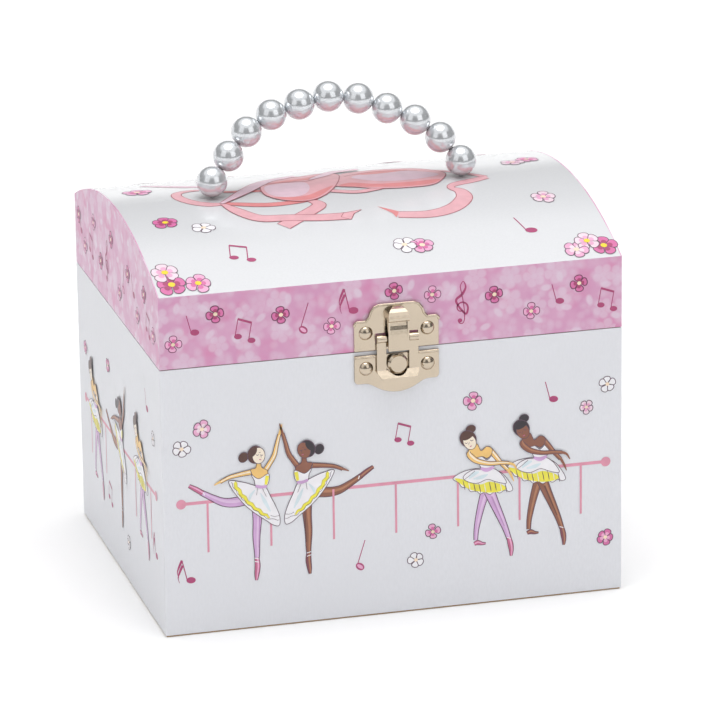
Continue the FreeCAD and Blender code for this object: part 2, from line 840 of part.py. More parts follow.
def barrel_cover():
    plate = rod(barrel_radius, (0, barrel_back - 0.85, barrel_z), Y, 0.85)
    return plate.cut(rod(arbor_radius + fit, (0, barrel_front - 3, barrel_z), Y, 20))


def mainspring():
    """Coiled strip: two spirals a strip's thickness apart, pushed along the arbor."""
    turns = 6
    inner_radius = 2.4
    growth = (barrel_radius - barrel_wall - 0.7 - inner_radius) / turns
    thick = 0.45
    samples = 12 * turns

    def spiral(offset):
        points = []
        for step in range(samples + 1):
            angle = 2 * math.pi * step / 12
            radius = inner_radius + offset + growth * step / 12
            points.append(Vector(radius * math.cos(angle), barrel_front + 1.6, barrel_z + radius * math.sin(angle)))
        curve = Part.BSplineCurve()
        curve.interpolate(points)
        return curve.toShape(), points[0], points[-1]

    near, near_start, near_end = spiral(0.0)
    away, away_start, away_end = spiral(thick)
    wire = Part.Wire([near, Part.makeLine(near_end, away_end), away, Part.makeLine(away_start, near_start)])
    return Part.Face(wire).extrude(Vector(0, barrel_back - barrel_front - 3.6, 0))


def pinned_cylinder():
    drum = rod(drum_radius, (0, drum_y, drum_low), Z, drum_high - drum_low)
    low = (drum_low + drum_high) / 2 - comb_pitch * comb_teeth / 2
    pins = []
    for row in range(comb_teeth):
        z = low + comb_pitch * (row + 0.5)
        for beat in range(4):
            angle = math.radians(12 + 90 * beat + (row * row * 17) % 78)
            direction = Vector(math.cos(angle), math.sin(angle), 0)
            start = Vector(0, drum_y, z) + direction * (drum_radius - 0.4)
            pins.append(Part.makeCylinder(0.22, pin_rise + 0.4, start, direction))
    drum = fuse([drum] + pins)
    return drum.cut(rod(drum_arbor + 0.01, (0, drum_y, drum_low - 1), Z, drum_high - drum_low + 2))


def cylinder_gears():
    pinion_low = barrel_z + crown_mean - 0.6
    gear_mid = gear(drum_pinion_teeth, pinion_low, pinion_low + 1.2, 0, drum_y, 90)
    big = gear(wheel_teeth, gear_z, gear_z + gear_thick, 0, drum_y, 0)
    arbor = rod(drum_arbor, (0, drum_y, bracket_z), Z, plate_z + plate_thick - bracket_z)
    collar = rod(2.0, (0, drum_y, pinion_low + 1.1), Z, drum_low - 0.1 - pinion_low - 1.1)
    return fuse([gear_mid, big, arbor, collar])


def governor_wheel():
    pinion = gear(pinion_teeth, gear_z - 0.2, gear_z + gear_thick + 0.2, governor_x, governor_y, 15)
    wheel = gear(wheel_teeth, upper_gear_z, upper_gear_z + 1.0, governor_x, governor_y, 0)
    hub = rod(1.8, (governor_x, governor_y, gear_z + gear_thick), Z, upper_gear_z - gear_z - gear_thick + 0.2)
    arbor = rod(small_arbor, (governor_x, governor_y, lower_plate_z), Z, plate_z + plate_thick - lower_plate_z)
    return fuse([pinion, wheel, hub, arbor])


def governor_fan():
    pinion = gear(pinion_teeth, upper_gear_z - 0.2, upper_gear_z + 1.2, fan_x, fan_y, 15)
    arbor = rod(small_arbor, (fan_x, fan_y, lower_plate_z), Z, plate_z + plate_thick - lower_plate_z)
    hub = rod(1.4, (fan_x, fan_y, lower_plate_z + 3.0), Z, 14.0)
    wing = box(fan_x - fan_radius, fan_x + fan_radius, fan_y - 0.3, fan_y + 0.3,
               lower_plate_z + 3.5, lower_plate_z + 16.5)
    return fuse([pinion, arbor, hub, wing])


def stop_rod():
    top = mirror_board_low - 0.4
    low = lower_plate_z - 5.0
    pin = rod(stop_rod_radius, (stop_x, stop_y, low), Z, top - low - 0.5)
    tip = Part.makeSphere(stop_rod_radius, Vector(stop_x, stop_y, top - stop_rod_radius))
    brake = box(stop_x, stop_x + stop_rod_reach - fan_radius - 0.6, stop_y - 0.5, stop_y + 0.5,
                lower_plate_z + 9.0, lower_plate_z + 10.2)
    return fuse([pin, tip, brake])


def winding_arbor():
    return rod(arbor_radius, (0, barrel_front - 1.0, barrel_z), Y, half_d + 9.0 - barrel_front)


def winding_key():
    """Butterfly key on the back: a threaded hub and two rounded wings."""
    hub_start = half_d + 3.0
    hub_end = half_d + 10.0
    hub = rod(2.9, (0, hub_start, barrel_z), Y, hub_end - hub_start)
    wings = []
    for sign in (-1, 1):
        disc = rod(6.0, (sign * 6.2, hub_end + 3.6, barrel_z - 0.7), Z, 1.4)
        hole = rod(2.6, (sign * 6.8, hub_end + 3.6, barrel_z - 2), Z, 4)
        wings.append(disc.cut(hole))
    bridge = box(-3.2, 3.2, hub_end - 2.0, hub_end + 4.0, barrel_z - 0.7, barrel_z + 0.7)
    socket = rod(arbor_radius + 0.01, (0, hub_start - 1, barrel_z), Y, 6.95)
    return fuse([hub, bridge] + wings).cut(socket)


# Dancer on her spring

collar_low = deck_top + 1.0
spring_low = collar_low + 1.5
toe_z = spring_low + spring_height


def ballerina_spindle():
    big = gear(wheel_teeth, gear_z, gear_z + gear_thick, 0, spindle_y, 5)
    shaft = rod(spindle_radius, (0, spindle_y, gear_z - 1), Z, spring_low - gear_z + 1)
    collar = rod(2.6, (0, spindle_y, collar_low), Z, spring_low - collar_low)
    return fuse([big, shaft, collar])


def ballerina_spring():
    pitch = (spring_height - 2 * spring_wire - 0.1) / spring_turns
    path = Part.makeHelix(pitch, pitch * spring_turns, spring_radius)
    profile = Part.Wire(Part.makeCircle(spring_wire, Vector(spring_radius, 0, 0), Y))
    coil = Part.Wire(path).makePipeShell([profile], True, True)
    coil.translate(Vector(0, spindle_y, spring_low + spring_wire + 0.05))
    return coil


def capsule(a, b, ra, rb):
    start = Vector(*a)
    end = Vector(*b)
    axis = end - start
    cone = Part.makeCone(ra, rb, axis.Length, start, axis)
    if abs(ra - rb) < 1e-6:
        cone = Part.makeCylinder(ra, axis.Length, start, axis)
    return fuse([cone, Part.makeSphere(ra, start), Part.makeSphere(rb, end)])


def ballerina_figure():
    """Dancer on one toe, the other foot at the knee, arms rounded overhead."""
    h = figure_height
    y = spindle_y
    peg = rod(1.5, (0, y, toe_z), Z, 1.0)
    toe = capsule((0, y, toe_z + 1.4), (0, y, toe_z + 0.20 * h), 0.9, 1.25)
    shin = capsule((0, y, toe_z + 0.20 * h), (0, y, toe_z + 0.42 * h), 1.25, 1.7)
    thigh = capsule((0.3, y, toe_z + 0.42 * h), (3.4, y - 0.8, toe_z + 0.30 * h), 1.6, 1.2)
    calf = capsule((3.4, y - 0.8, toe_z + 0.30 * h), (0.9, y, toe_z + 0.19 * h), 1.2, 0.8)
    hips = capsule((0, y, toe_z + 0.42 * h), (0, y, toe_z + 0.52 * h), 2.0, 1.6)
    chest = capsule((0, y, toe_z + 0.52 * h), (0, y, toe_z + 0.63 * h), 1.6, 2.2)
    neck = rod(0.9, (0, y, toe_z + 0.63 * h), Z, 0.08 * h)
    head = Part.makeSphere(2.6, Vector(0, y, toe_z + 0.76 * h))
    bun = Part.makeSphere(1.2, Vector(0, y + 1.2, toe_z + 0.83 * h))
    arms = []
    for sign in (-1, 1):
        shoulder = (sign * 2.0, y, toe_z + 0.65 * h)
        elbow = (sign * 5.2, y - 0.8, toe_z + 0.80 * h)
        hand = (sign * 1.3, y - 0.8, toe_z + h - 0.8)
        arms.append(capsule(shoulder, elbow, 0.95, 0.75))
        arms.append(capsule(elbow, hand, 0.75, 0.6))
    return fuse([peg, toe, shin, thigh, calf, hips, chest, neck, head, bun] + arms)


def ballerina_tutu():
    waist = toe_z + 0.53 * figure_height
    hole = 2.3
    thick = 0.9
    drop = 2.4
    outline = [(hole, waist), (tutu_radius, waist - drop), (tutu_radius, waist - drop - thick),
               (hole, waist - thick - 1.2)]
    face = Part.Face(polygon([(r, 0, z) for r, z in outline]))
    skirt = face.revolve(Vector(0, 0, 0), Z, 360)
    skirt.translate(Vector(0, spindle_y, 0))
    return skirt


def all_parts():
    return {
        "bottom_panel": bottom_panel(),
        "front_panel": front_panel(),
        "back_panel": back_panel(),
        "left_panel": side_panel(-1),
        "right_panel": side_panel(1),
        "base_paper_wrap": base_paper_wrap(),
        "lining_floor": lining_floor_sheet(),
        "lining_walls": lining_wall_sheets(),
        "movement_cover": movement_cover(),
        "compartment_dividers": compartment_dividers(),
        "ring_shelf": ring_shelf(),
        "ring_rolls": ring_rolls(),
        "lid_front_panel": lid_front_panel(),
        "lid_back_panel": lid_back_panel(),
        "lid_left_end": lid_end(-1),
        "lid_right_end": lid_end(1),
        "lid_dome_panel": lid_dome_panel(),
        "lid_band_paper": lid_band_paper(),
        "lid_top_paper": lid_top_paper(),
        "lid_lining": lid_lining(),
        "mirror_board": mirror_board(),
        "mirror": mirror(),
        "hinge_leaves_base": hinge_leaves(-1, False, base_nail_z),
        "hinge_leaves_lid": hinge_leaves(1, True, lid_nail_z),
        "hinge_pins": hinge_pins(),
        "hinge_nails_base": hinge_nails(base_nail_z),
        "hinge_nails_lid": hinge_nails(lid_nail_z),
        "handle_wire": handle_wire(),
        "handle_washers": handle_washers(),
        "handle_pearls": handle_pearls(),
        "latch_upper_plate": latch_upper_plate(),
        "latch_lower_plate": latch_lower_plate(),
        "latch_rivets_upper": latch_rivets(rivet_upper_z),
        "latch_rivets_lower": latch_rivets(rivet_lower_z),
        "latch_stud": latch_stud(),
        "latch_hasp": latch_hasp(),
        "movement_bedplate": movement_bedplate(),
        "movement_screws": movement_screws(),
        "comb": comb(),
        "comb_screws": comb_screws(),
        "cylinder_bracket": cylinder_bracket(),
        "governor_frame": governor_frame(),
        "key_escutcheon": key_escutcheon(),
        "spindle_bush": spindle_bush(),
        "spring_barrel": spring_barrel(),
        "barrel_cover": barrel_cover(),
        "mainspring": mainspring(),
        "pinned_cylinder": pinned_cylinder(),
        "cylinder_gears": cylinder_gears(),
        "governor_wheel": governor_wheel(),
        "governor_fan": governor_fan(),
        "stop_rod": stop_rod(),
        "winding_arbor": winding_arbor(),
        "winding_key": winding_key(),
        "ballerina_spindle": ballerina_spindle(),
        "ballerina_spring": ballerina_spring(),
        "ballerina_figure": ballerina_figure(),
        "ballerina_tutu": ballerina_tutu(),
    }


os.makedirs("parts", exist_ok=True)
for node, shape in all_parts().items():
    shape.exportStep("parts/" + node + ".step")
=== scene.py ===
import bmesh
import bpy
import json
import math
import random
from mathutils import Matrix, Vector
from mathutils.geometry import tessellate_polygon


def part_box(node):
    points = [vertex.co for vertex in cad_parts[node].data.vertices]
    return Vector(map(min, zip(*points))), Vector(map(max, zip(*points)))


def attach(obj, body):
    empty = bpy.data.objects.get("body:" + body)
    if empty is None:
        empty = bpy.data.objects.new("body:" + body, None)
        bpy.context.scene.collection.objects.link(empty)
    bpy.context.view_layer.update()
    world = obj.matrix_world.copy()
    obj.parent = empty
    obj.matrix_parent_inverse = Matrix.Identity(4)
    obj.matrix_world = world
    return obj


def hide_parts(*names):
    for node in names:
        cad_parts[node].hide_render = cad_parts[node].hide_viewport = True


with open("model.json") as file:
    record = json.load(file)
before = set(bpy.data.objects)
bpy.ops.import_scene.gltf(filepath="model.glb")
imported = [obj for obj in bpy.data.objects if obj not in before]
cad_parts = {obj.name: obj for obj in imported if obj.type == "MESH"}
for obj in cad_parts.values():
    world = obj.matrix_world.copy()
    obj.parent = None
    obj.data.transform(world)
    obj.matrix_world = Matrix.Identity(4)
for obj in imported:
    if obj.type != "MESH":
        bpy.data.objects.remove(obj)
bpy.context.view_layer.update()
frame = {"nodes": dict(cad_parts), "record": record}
nodes = frame["nodes"]

mm = 0.001

# The camera: it looks down a little on the front and the left side of the box
CAMERA_AZIMUTH = -14.87
CAMERA_ELEVATION = 18.09
CAMERA_ROLL = -0.755
CAMERA_DISTANCE = 1.9176
CAMERA_LENS = 268.5
CAMERA_AIM_HEIGHT = 0.07
CAMERA_AIM_RIGHT = 0.0056
CAMERA_AIM_UP = 0.0022

# The studio: how bright each part of it is, and where its parts start and end (height of the heading, 0 to 1)
WALL_LIGHT = 0.22
CEILING_LIGHT = 0.93
CEILING_START = 0.6
CEILING_FULL = 0.74
OVERHEAD_LIGHT = 3.3
OVERHEAD_START = 0.89
OVERHEAD_FULL = 0.95
BACKDROP_LIGHT = 0.85
BACKDROP_TOP = 0.26
BACKDROP_FADE = 0.12
BEHIND_START = 0.3
BEHIND_FULL = 0.7
SOFTBOX_SIZE = 1.3
SOFTBOX_AIM = (0, 0, 0.1)
SOFTBOX_LEFT_SPOT = (-1.48, -1, 1)
SOFTBOX_RIGHT_SPOT = (0.78, -1.6, 1)
SOFTBOX_LEFT_WATTS = 3.8
SOFTBOX_RIGHT_WATTS = 5.4
FLOOR_HALF = 6

# Printing
PRINT_LIFT = 0.03
LAYER_STEP = 0.01
LINE = 0.28


# ---------------------------------------------------------------- materials

class Nodes:
    """Short names for building a node tree."""

    def __init__(self, tree):
        self.tree = tree

    def add(self, kind, **inputs):
        node = self.tree.nodes.new(kind)
        for name, value in inputs.items():
            self.feed(node.inputs[name.replace("_", " ")], value)
        return node

    def feed(self, socket, value):
        if isinstance(value, bpy.types.NodeSocket):
            self.tree.links.new(value, socket)
        else:
            socket.default_value = value

    def math(self, operation, a, b=0):
        node = self.tree.nodes.new("ShaderNodeMath")
        node.operation = operation
        self.feed(node.inputs[0], a)
        self.feed(node.inputs[1], b)
        return node.outputs[0]

    def ramp(self, value, low, high, to_low=0, to_high=1, kind="LINEAR"):
        node = self.add("ShaderNodeMapRange", Value=value, From_Min=low, From_Max=high, To_Min=to_low,
                        To_Max=to_high)
        node.interpolation_type = kind
        return node.outputs["Result"]

    def split(self, value):
        return self.add("ShaderNodeSeparateXYZ", Vector=value).outputs


class Look(Nodes):
    """A material under construction: a Principled shader and the nodes feeding it."""

    def __init__(self, name, roughness=0.5, metallic=0, **sockets):
        self.material = bpy.data.materials.new(name)
        self.material.use_nodes = True
        super().__init__(self.material.node_tree)
        self.shader = self.tree.nodes["Principled BSDF"]
        self.shader.inputs["Roughness"].default_value = roughness
        self.shader.inputs["Metallic"].default_value = metallic
        for socket, value in sockets.items():
            self.shader.inputs[socket.replace("_", " ")].default_value = value
        self.place = self.add("ShaderNodeTexCoord").outputs["Object"]

    def noise(self, scale, detail=3, roughness=0.5, stretch=None):
        place = self.place
        if stretch:
            place = self.add("ShaderNodeMapping", Vector=place, Scale=stretch).outputs[0]
        return self.add("ShaderNodeTexNoise", Vector=place, Scale=scale, Detail=detail,
                        Roughness=roughness).outputs["Fac"]

    def facing(self):
        """Which way the surface faces, as three numbers."""
        return self.split(self.add("ShaderNodeTexCoord").outputs["Normal"])

    def mix(self, factor, a, b):
        node = self.tree.nodes.new("ShaderNodeMix")
        node.data_type = "RGBA"
        for index, value in ((0, factor), (6, a), (7, b)):
            self.feed(node.inputs[index], value)
        return node.outputs[2]

    def colour(self, value):
        self.feed(self.shader.inputs["Base Color"], value)

    def rough(self, value):
        self.feed(self.shader.inputs["Roughness"], value)

    def bump(self, height, strength, distance):
        node = self.add("ShaderNodeBump", Height=height, Strength=strength, Distance=distance)
        self.tree.links.new(node.outputs[0], self.shader.inputs["Normal"])


def rgb(red, green, blue):
    """Linear colour from the 0 to 255 numbers of a colour picker."""
    def linear(value):
        value = value / 255
        return value / 12.92 if value <= 0.04045 else ((value + 0.055) / 1.055) ** 2.4
    return (linear(red), linear(green), linear(blue), 1)


PINK_DEEP = rgb(208, 146, 184)
PINK_SOFT = rgb(215, 166, 196)
PINK_CLOUD = rgb(212, 138, 178)
PINK_PALE = rgb(222, 202, 218)


def shade(colour, factor):
    return tuple(min(1, c * factor) for c in colour[:3]) + (1,)


def mottled(name, colour, depth, scale, roughness, bump=0, grain=900, **sockets):
    """A colour that drifts a little from place to place, with a fine grain in its relief."""
    look = Look(name, roughness=roughness, **sockets)
    drift = look.noise(scale, 4)
    look.colour(look.mix(drift, shade(colour, 1 - depth), shade(colour, 1 + depth)))
    if bump:
        look.bump(look.noise(grain, 2), bump, 0.0002)
    return look.material


def paper_look(name, colour, roughness, coat):
    look = Look(name, roughness=roughness, Coat_Weight=coat, Coat_Roughness=0.18)
    drift = look.noise(18, 3)
    fibre = look.noise(1400, 2, stretch=(1, 1, 0.35))
    tone = look.mix(look.ramp(drift, 0.3, 0.7), shade(colour, 0.985), shade(colour, 1.01))
    look.colour(look.mix(look.ramp(fibre, 0.35, 0.65), shade(colour, 0.975), tone))
    look.bump(fibre, 0.1, 0.0001)
    return look.material


def scattered(look, across, up, pitch, offset):
    """Where a spot lies from the nearest point of a scattered grid: angle, distance, three random numbers."""
    shifted = [look.math("ADD", value, offset) for value in (across, up)]
    spot = look.add("ShaderNodeCombineXYZ", X=shifted[0], Y=shifted[1])
    cells = look.tree.nodes.new("ShaderNodeTexVoronoi")
    cells.voronoi_dimensions = "2D"
    look.feed(cells.inputs["Vector"], spot.outputs[0])
    cells.inputs["Scale"].default_value = 1 / pitch
    cells.inputs["Randomness"].default_value = 0.7
    away = look.tree.nodes.new("ShaderNodeVectorMath")
    away.operation = "SUBTRACT"
    look.feed(away.inputs[0], spot.outputs[0])
    look.feed(away.inputs[1], cells.outputs["Position"])
    parts = look.split(away.outputs[0])
    pick = look.add("ShaderNodeSeparateColor", Color=cells.outputs["Color"])
    squares = look.math("ADD", *(look.math("POWER", parts[k], 2) for k in (0, 1)))
    distance = look.math("SQRT", squares)
    angle = look.math("ADD", look.math("ARCTAN2", parts[1], parts[0]),
                      look.math("MULTIPLY", pick.outputs[0], 6.3))
    return angle, distance, pick.outputs


def blossom_mask(look, across, up, pitch, radius, petals, edge, offset):
    """Soft flowers made of round petals, one to each cell of the grid: 1 inside a flower and 0 outside."""
    angle, distance, pick = scattered(look, across, up, pitch, offset)
    size = look.math("MULTIPLY", look.ramp(pick[1], 0, 1, 0.75, 1), radius)
    folded = look.math("PINGPONG", angle, math.pi / petals)
    petal_at = look.math("MULTIPLY", size, 0.62)
    cross = look.math("MULTIPLY", look.math("MULTIPLY", distance, petal_at), look.math("COSINE", folded))
    squares = look.math("ADD", look.math("POWER", distance, 2), look.math("POWER", petal_at, 2))
    from_petal = look.math("SQRT", look.math("SUBTRACT", squares, look.math("MULTIPLY", cross, 2)))
    inside = look.math("SUBTRACT", look.math("MULTIPLY", size, 0.4), from_petal)
    heart = look.math("SUBTRACT", look.math("MULTIPLY", size, 0.34), distance)
    soft = look.ramp(look.math("MAXIMUM", inside, heart), -edge / 2, edge / 2)
    return look.math("MULTIPLY", soft, look.math("GREATER_THAN", pick[2], 0.12))


def fleck_mask(look, across, up, pitch, long, short, edge, offset):
    """Soft ovals, one to each cell of the grid, each turned its own way."""
    angle, distance, pick = scattered(look, across, up, pitch, offset)
    along = look.math("DIVIDE", look.math("MULTIPLY", distance, look.math("COSINE", angle)), long)
    aside = look.math("DIVIDE", look.math("MULTIPLY", distance, look.math("SINE", angle)), short)
    reach = look.math("SQRT", look.math("ADD", look.math("POWER", along, 2), look.math("POWER", aside, 2)))
    return look.ramp(look.math("SUBTRACT", 1, reach), -edge, edge)


def pink_paper_look():
    """Rose paper with pale blossoms out of focus. Width or depth runs across, as the wall faces."""
    look = Look("pink_paper", roughness=0.42, Coat_Weight=0.25, Coat_Roughness=0.2)
    place = look.split(look.place)
    facing = look.facing()
    sideways = look.math("GREATER_THAN", look.math("ABSOLUTE", facing[0]), 0.7)
    depth = look.math("ADD", look.math("MULTIPLY", place[1], facing[0]), 0.31)
    width = look.math("MULTIPLY", place[0], look.math("MULTIPLY", facing[1], -1))
    across = look.math("ADD", look.math("MULTIPLY", sideways, depth),
                       look.math("MULTIPLY", look.math("SUBTRACT", 1, sideways), width))
    up = place[2]
    drift = look.noise(70, 4, 0.6)
    ground = look.mix(look.ramp(drift, 0.3, 0.7), PINK_DEEP, PINK_SOFT)
    rosy = look.mix(look.ramp(look.noise(130, 2), 0.5, 0.72), ground, PINK_CLOUD)
    blurred = blossom_mask(look, across, up, 0.0088, 0.004, 5, 0.0016, 0.37)
    clear = blossom_mask(look, across, up, 0.0112, 0.0045, 5, 0.0008, 0.11)
    spots = fleck_mask(look, across, up, 0.0062, 0.0013, 0.0013, 0.45, 0.53)
    flecks = fleck_mask(look, across, up, 0.0108, 0.0019, 0.0011, 0.28, 0.73)
    tone = look.mix(look.math("MULTIPLY", blurred, 0.26), rosy, PINK_PALE)
    tone = look.mix(look.math("MULTIPLY", spots, 0.28), tone, PINK_PALE)
    tone = look.mix(look.math("MULTIPLY", clear, 0.5), tone, PINK_PALE)
    tone = look.mix(look.math("MULTIPLY", flecks, 0.7), tone, PINK_PALE)
    look.colour(tone)
    look.bump(look.noise(1400, 2), 0.08, 0.0001)
    return look.material


def metal_look(name, colour, roughness, scuff, brush=None):
    look = Look(name, roughness=roughness, metallic=1)
    cloud = look.noise(180, 4)
    lines = look.noise(900, 3, stretch=brush or (1, 1, 1))
    look.colour(look.mix(cloud, shade(colour, 0.93), shade(colour, 1.05)))
    look.rough(look.ramp(lines, 0.3, 0.7, roughness * (1 - scuff), roughness * (1 + scuff)))
    look.bump(lines, 0.05, 0.00004)
    return look.material


def flock_look(name, colour):
    look = Look(name, roughness=0.95, Sheen_Weight=0.6, Sheen_Roughness=0.4)
    nap = look.noise(2600, 2)
    crush = look.noise(60, 3)
    tone = look.mix(look.ramp(crush, 0.35, 0.7), shade(colour, 0.86), shade(colour, 1.08))
    look.colour(look.mix(look.ramp(nap, 0.3, 0.7), shade(colour, 0.85), tone))
    look.bump(nap, 0.5, 0.0003)
    return look.material


def board_look():
    look = Look("board", roughness=0.85)
    chips = look.noise(1100, 4, 0.7)
    look.colour(look.mix(chips, rgb(146, 116, 84), rgb(196, 168, 130)))
    look.bump(chips, 0.3, 0.0002)
    return look.material


def pearl_look():
    """Grey-white lacquer with a metallic lustre, and a painted pink reflection on the underside of each bead.
    """
    look = Look("pearl", roughness=0.17, metallic=0.62, Coat_Weight=0.8, Coat_Roughness=0.05)
    facing = look.facing()
    swirl = look.noise(420, 4, 0.6)
    body = look.mix(swirl, rgb(212, 215, 219), rgb(228, 231, 234))
    # painted reflection: surfaces facing down are tinted towards pink, standing in for the pink surroundings
    # the beads reflect
    blush = look.ramp(facing[2], -0.2, -0.9)
    look.colour(look.mix(look.math("MULTIPLY", blush, 0.6), body, rgb(224, 184, 186)))
    look.bump(swirl, 0.03, 0.0001)
    return look.material


def mirror_look():
    look = Look("mirror_glass", roughness=0.02, metallic=1)
    haze = look.noise(35, 4, 0.6)
    look.colour(look.mix(haze, rgb(228, 232, 233), rgb(240, 243, 244)))
    look.rough(look.ramp(haze, 0.45, 0.8, 0.015, 0.06))
    return look.material


def tulle_look():
    look = Look("tulle", roughness=0.8, Sheen_Weight=0.4)
    mesh = look.noise(1500, 2)
    look.colour(look.mix(look.ramp(mesh, 0.35, 0.65), rgb(238, 205, 222), rgb(252, 238, 245)))
    look.bump(mesh, 0.4, 0.0002)
    return look.material


def ink_look(name, colour, depth):
    look = Look("ink_" + name, roughness=0.42, Coat_Weight=0.25, Coat_Roughness=0.2)
    wash = look.noise(260, 3)
    look.colour(look.mix(look.ramp(wash, 0.3, 0.7), shade(colour, 1 - depth), shade(colour, 1 + depth)))
    return look.material


looks = {
    "board": board_look(),
    "white_paper": paper_look("white_paper", rgb(226, 227, 232), 0.45, 0.15),
    "dome_paper": paper_look("dome_paper", rgb(220, 221, 224), 0.22, 0.7),
    "pink_paper": pink_paper_look(),
    "velvet": flock_look("velvet", rgb(214, 122, 162)),
    "velvet_cover": flock_look("velvet_cover", rgb(218, 128, 168)),
    "satin_roll": flock_look("satin_roll", rgb(222, 136, 174)),
    "mirror_glass": mirror_look(),
    "nickel": metal_look("nickel", rgb(197, 183, 164), 0.17, 0.35),
    "steel": metal_look("steel", rgb(196, 196, 198), 0.28, 0.3, (1, 0.2, 1)),
    "comb_steel": metal_look("comb_steel", rgb(176, 178, 184), 0.25, 0.4, (0.1, 1, 1)),
    "blued_steel": metal_look("blued_steel", rgb(70, 86, 122), 0.25, 0.3),
    "cast_plate": metal_look("cast_plate", rgb(170, 164, 150), 0.45, 0.3),
    "brass": metal_look("brass", rgb(214, 178, 100), 0.22, 0.35),
    "pearl": pearl_look(),
    "painted_resin": mottled("painted_resin", rgb(244, 208, 186), 0.03, 90, 0.35, Coat_Weight=0.3),
    "tulle": tulle_look(),
}


def paint_frame():
    for entry in frame["record"]["subparts"]:
        thing = nodes[entry["node"]]
        thing.data.materials.clear()
        thing.data.materials.append(looks[entry["material_slot"]])


paint_frame()


# ---------------------------------------------------------------- printed faces

class Face:
    """A printed face. A point on it is (across, up) in millimetres as seen from outside."""

    def __init__(self, body, place, curved=False):
        self.body = body
        self.place = place
        self.curved = curved


def wall(body, node, side):
    """A flat upright face of a node's box, on the side named front, back, left or right."""
    low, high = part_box(node)

    def place(across, up, lift):
        u, v, out = across * mm, up * mm, lift * mm
        if side == "front":
            return Vector((u, low[1] - out, v))
        if side == "back":
            return Vector((-u, high[1] + out, v))
        if side == "left":
            return Vector((low[0] - out, -u, v))
        return Vector((high[0] + out, u, v))

    return Face(body, place)


def dome_face():
    """The lid's top. Across is x and up is y, so the crown is at 0 and the front edge is minus."""
    low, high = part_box("lid_top_paper")
    half = high[1]
    rise = high[2] - low[2]
    radius = (half ** 2 + rise ** 2) / (2 * rise)
    centre = high[2] - radius

    def place(across, up, lift):
        y = up * mm
        outward = Vector((0, y / radius, math.sqrt(max(0, 1 - (y / radius) ** 2))))
        return Vector((across * mm, 0, centre)) + outward * (radius + lift * mm)

    return Face("lid", place, curved=True)


front = wall("base", "base_paper_wrap", "front")
left = wall("base", "base_paper_wrap", "left")
right = wall("base", "base_paper_wrap", "right")
back = wall("base", "base_paper_wrap", "back")
band_front = wall("lid", "lid_band_paper", "front")
band_left = wall("lid", "lid_band_paper", "left")
band_right = wall("lid", "lid_band_paper", "right")
band_back = wall("lid", "lid_band_paper", "back")
dome = dome_face()

INK_COLOURS = {
    "dark": (92, 66, 84), "plum": (110, 48, 84), "magenta": (172, 62, 112), "rose": (214, 108, 164),
    "pink": (232, 170, 204), "blush": (238, 214, 226), "white": (240, 238, 242),
    "cream": (244, 222, 196), "yellow": (238, 228, 72), "gold": (244, 216, 40),
    "gold_line": (186, 168, 70), "barre": (222, 148, 170), "lilac": (206, 164, 210),
    "lilac_lit": (222, 192, 224), "lilac_shade": (186, 140, 190), "ice": (214, 228, 234),
    "light_skin": (238, 194, 116), "light_face": (246, 232, 212), "dark_skin": (140, 88, 68),
    "dark_skin_lit": (176, 120, 88), "dark_skin_shade": (104, 64, 54), "brown_hair": (84, 52, 42),
    "black_hair": (44, 36, 44), "shoe": (196, 104, 140), "brown_shoe": (128, 70, 78),
    "coral": (222, 138, 140), "coral_light": (226, 172, 180), "coral_pale": (226, 196, 210),
    "coral_line": (168, 88, 98),
}
inks = {name: ink_look(name, rgb(*colour), 0.03 if name == "white" else 0.06)
        for name, colour in INK_COLOURS.items()}

LIT_SIDE = {
    "light_skin": "light_face",
    "dark_skin": "dark_skin_lit",
    "lilac": "lilac_lit",
    "shoe": "pink",
    "brown_shoe": "dark_skin_lit",
}

printed = {}
layer = [0]


def new_motif():
    layer[0] = 0


def next_lift():
    layer[0] += 1
    return PRINT_LIFT + LAYER_STEP * layer[0]


def curve_through(points, closed=False, steps=6):
    """A smooth line through the points, each with the same number of values."""
    count = len(points)
    out = []
    spans = count if closed else count - 1
    for index in range(spans):
        if closed:
            four = [points[(index + k) % count] for k in (-1, 0, 1, 2)]
        else:
            four = [points[min(max(index + k, 0), count - 1)] for k in (-1, 0, 1, 2)]
        for step in range(steps):
            t = step / steps
            out.append(tuple(
                0.5 * (2 * b + (c - a) * t + (2 * a - 5 * b + 4 * c - d) * t * t
                       + (3 * b - a - 3 * c + d) * t ** 3)
                for a, b, c, d in zip(*four)))
    if not closed:
        out.append(tuple(points[-1]))
    return out


def store(face, ink, flat_points, polygons, lift):
    mesh = bmesh.new()
    corners = [mesh.verts.new((u, v, 0)) for u, v in flat_points]
    for polygon in polygons:
        if len(set(polygon)) > 2:
            mesh.faces.new([corners[i] for i in polygon])
    if face.curved:
        low = min(v for _, v in flat_points)
        high = max(v for _, v in flat_points)
        step = 3
        for index in range(math.floor(low / step), math.ceil(high / step)):
            bmesh.ops.bisect_plane(mesh, geom=mesh.verts[:] + mesh.edges[:] + mesh.faces[:],
                                   plane_co=(0, index * step, 0), plane_no=(0, 1, 0), dist=1e-5)
    mesh.verts.index_update()
    points = [face.place(v.co.x, v.co.y, lift) for v in mesh.verts]
    faces = [[v.index for v in f.verts] for f in mesh.faces]
    printed.setdefault((face.body, ink), []).append((points, faces))
    mesh.free()


def fill(face, points, ink, smooth=True):
    outline = curve_through(points, closed=True) if smooth else list(points)
    triangles = tessellate_polygon([[Vector((u, v, 0)) for u, v in outline]])
    store(face, ink, outline, [tuple(t) for t in triangles], next_lift())
    return outline


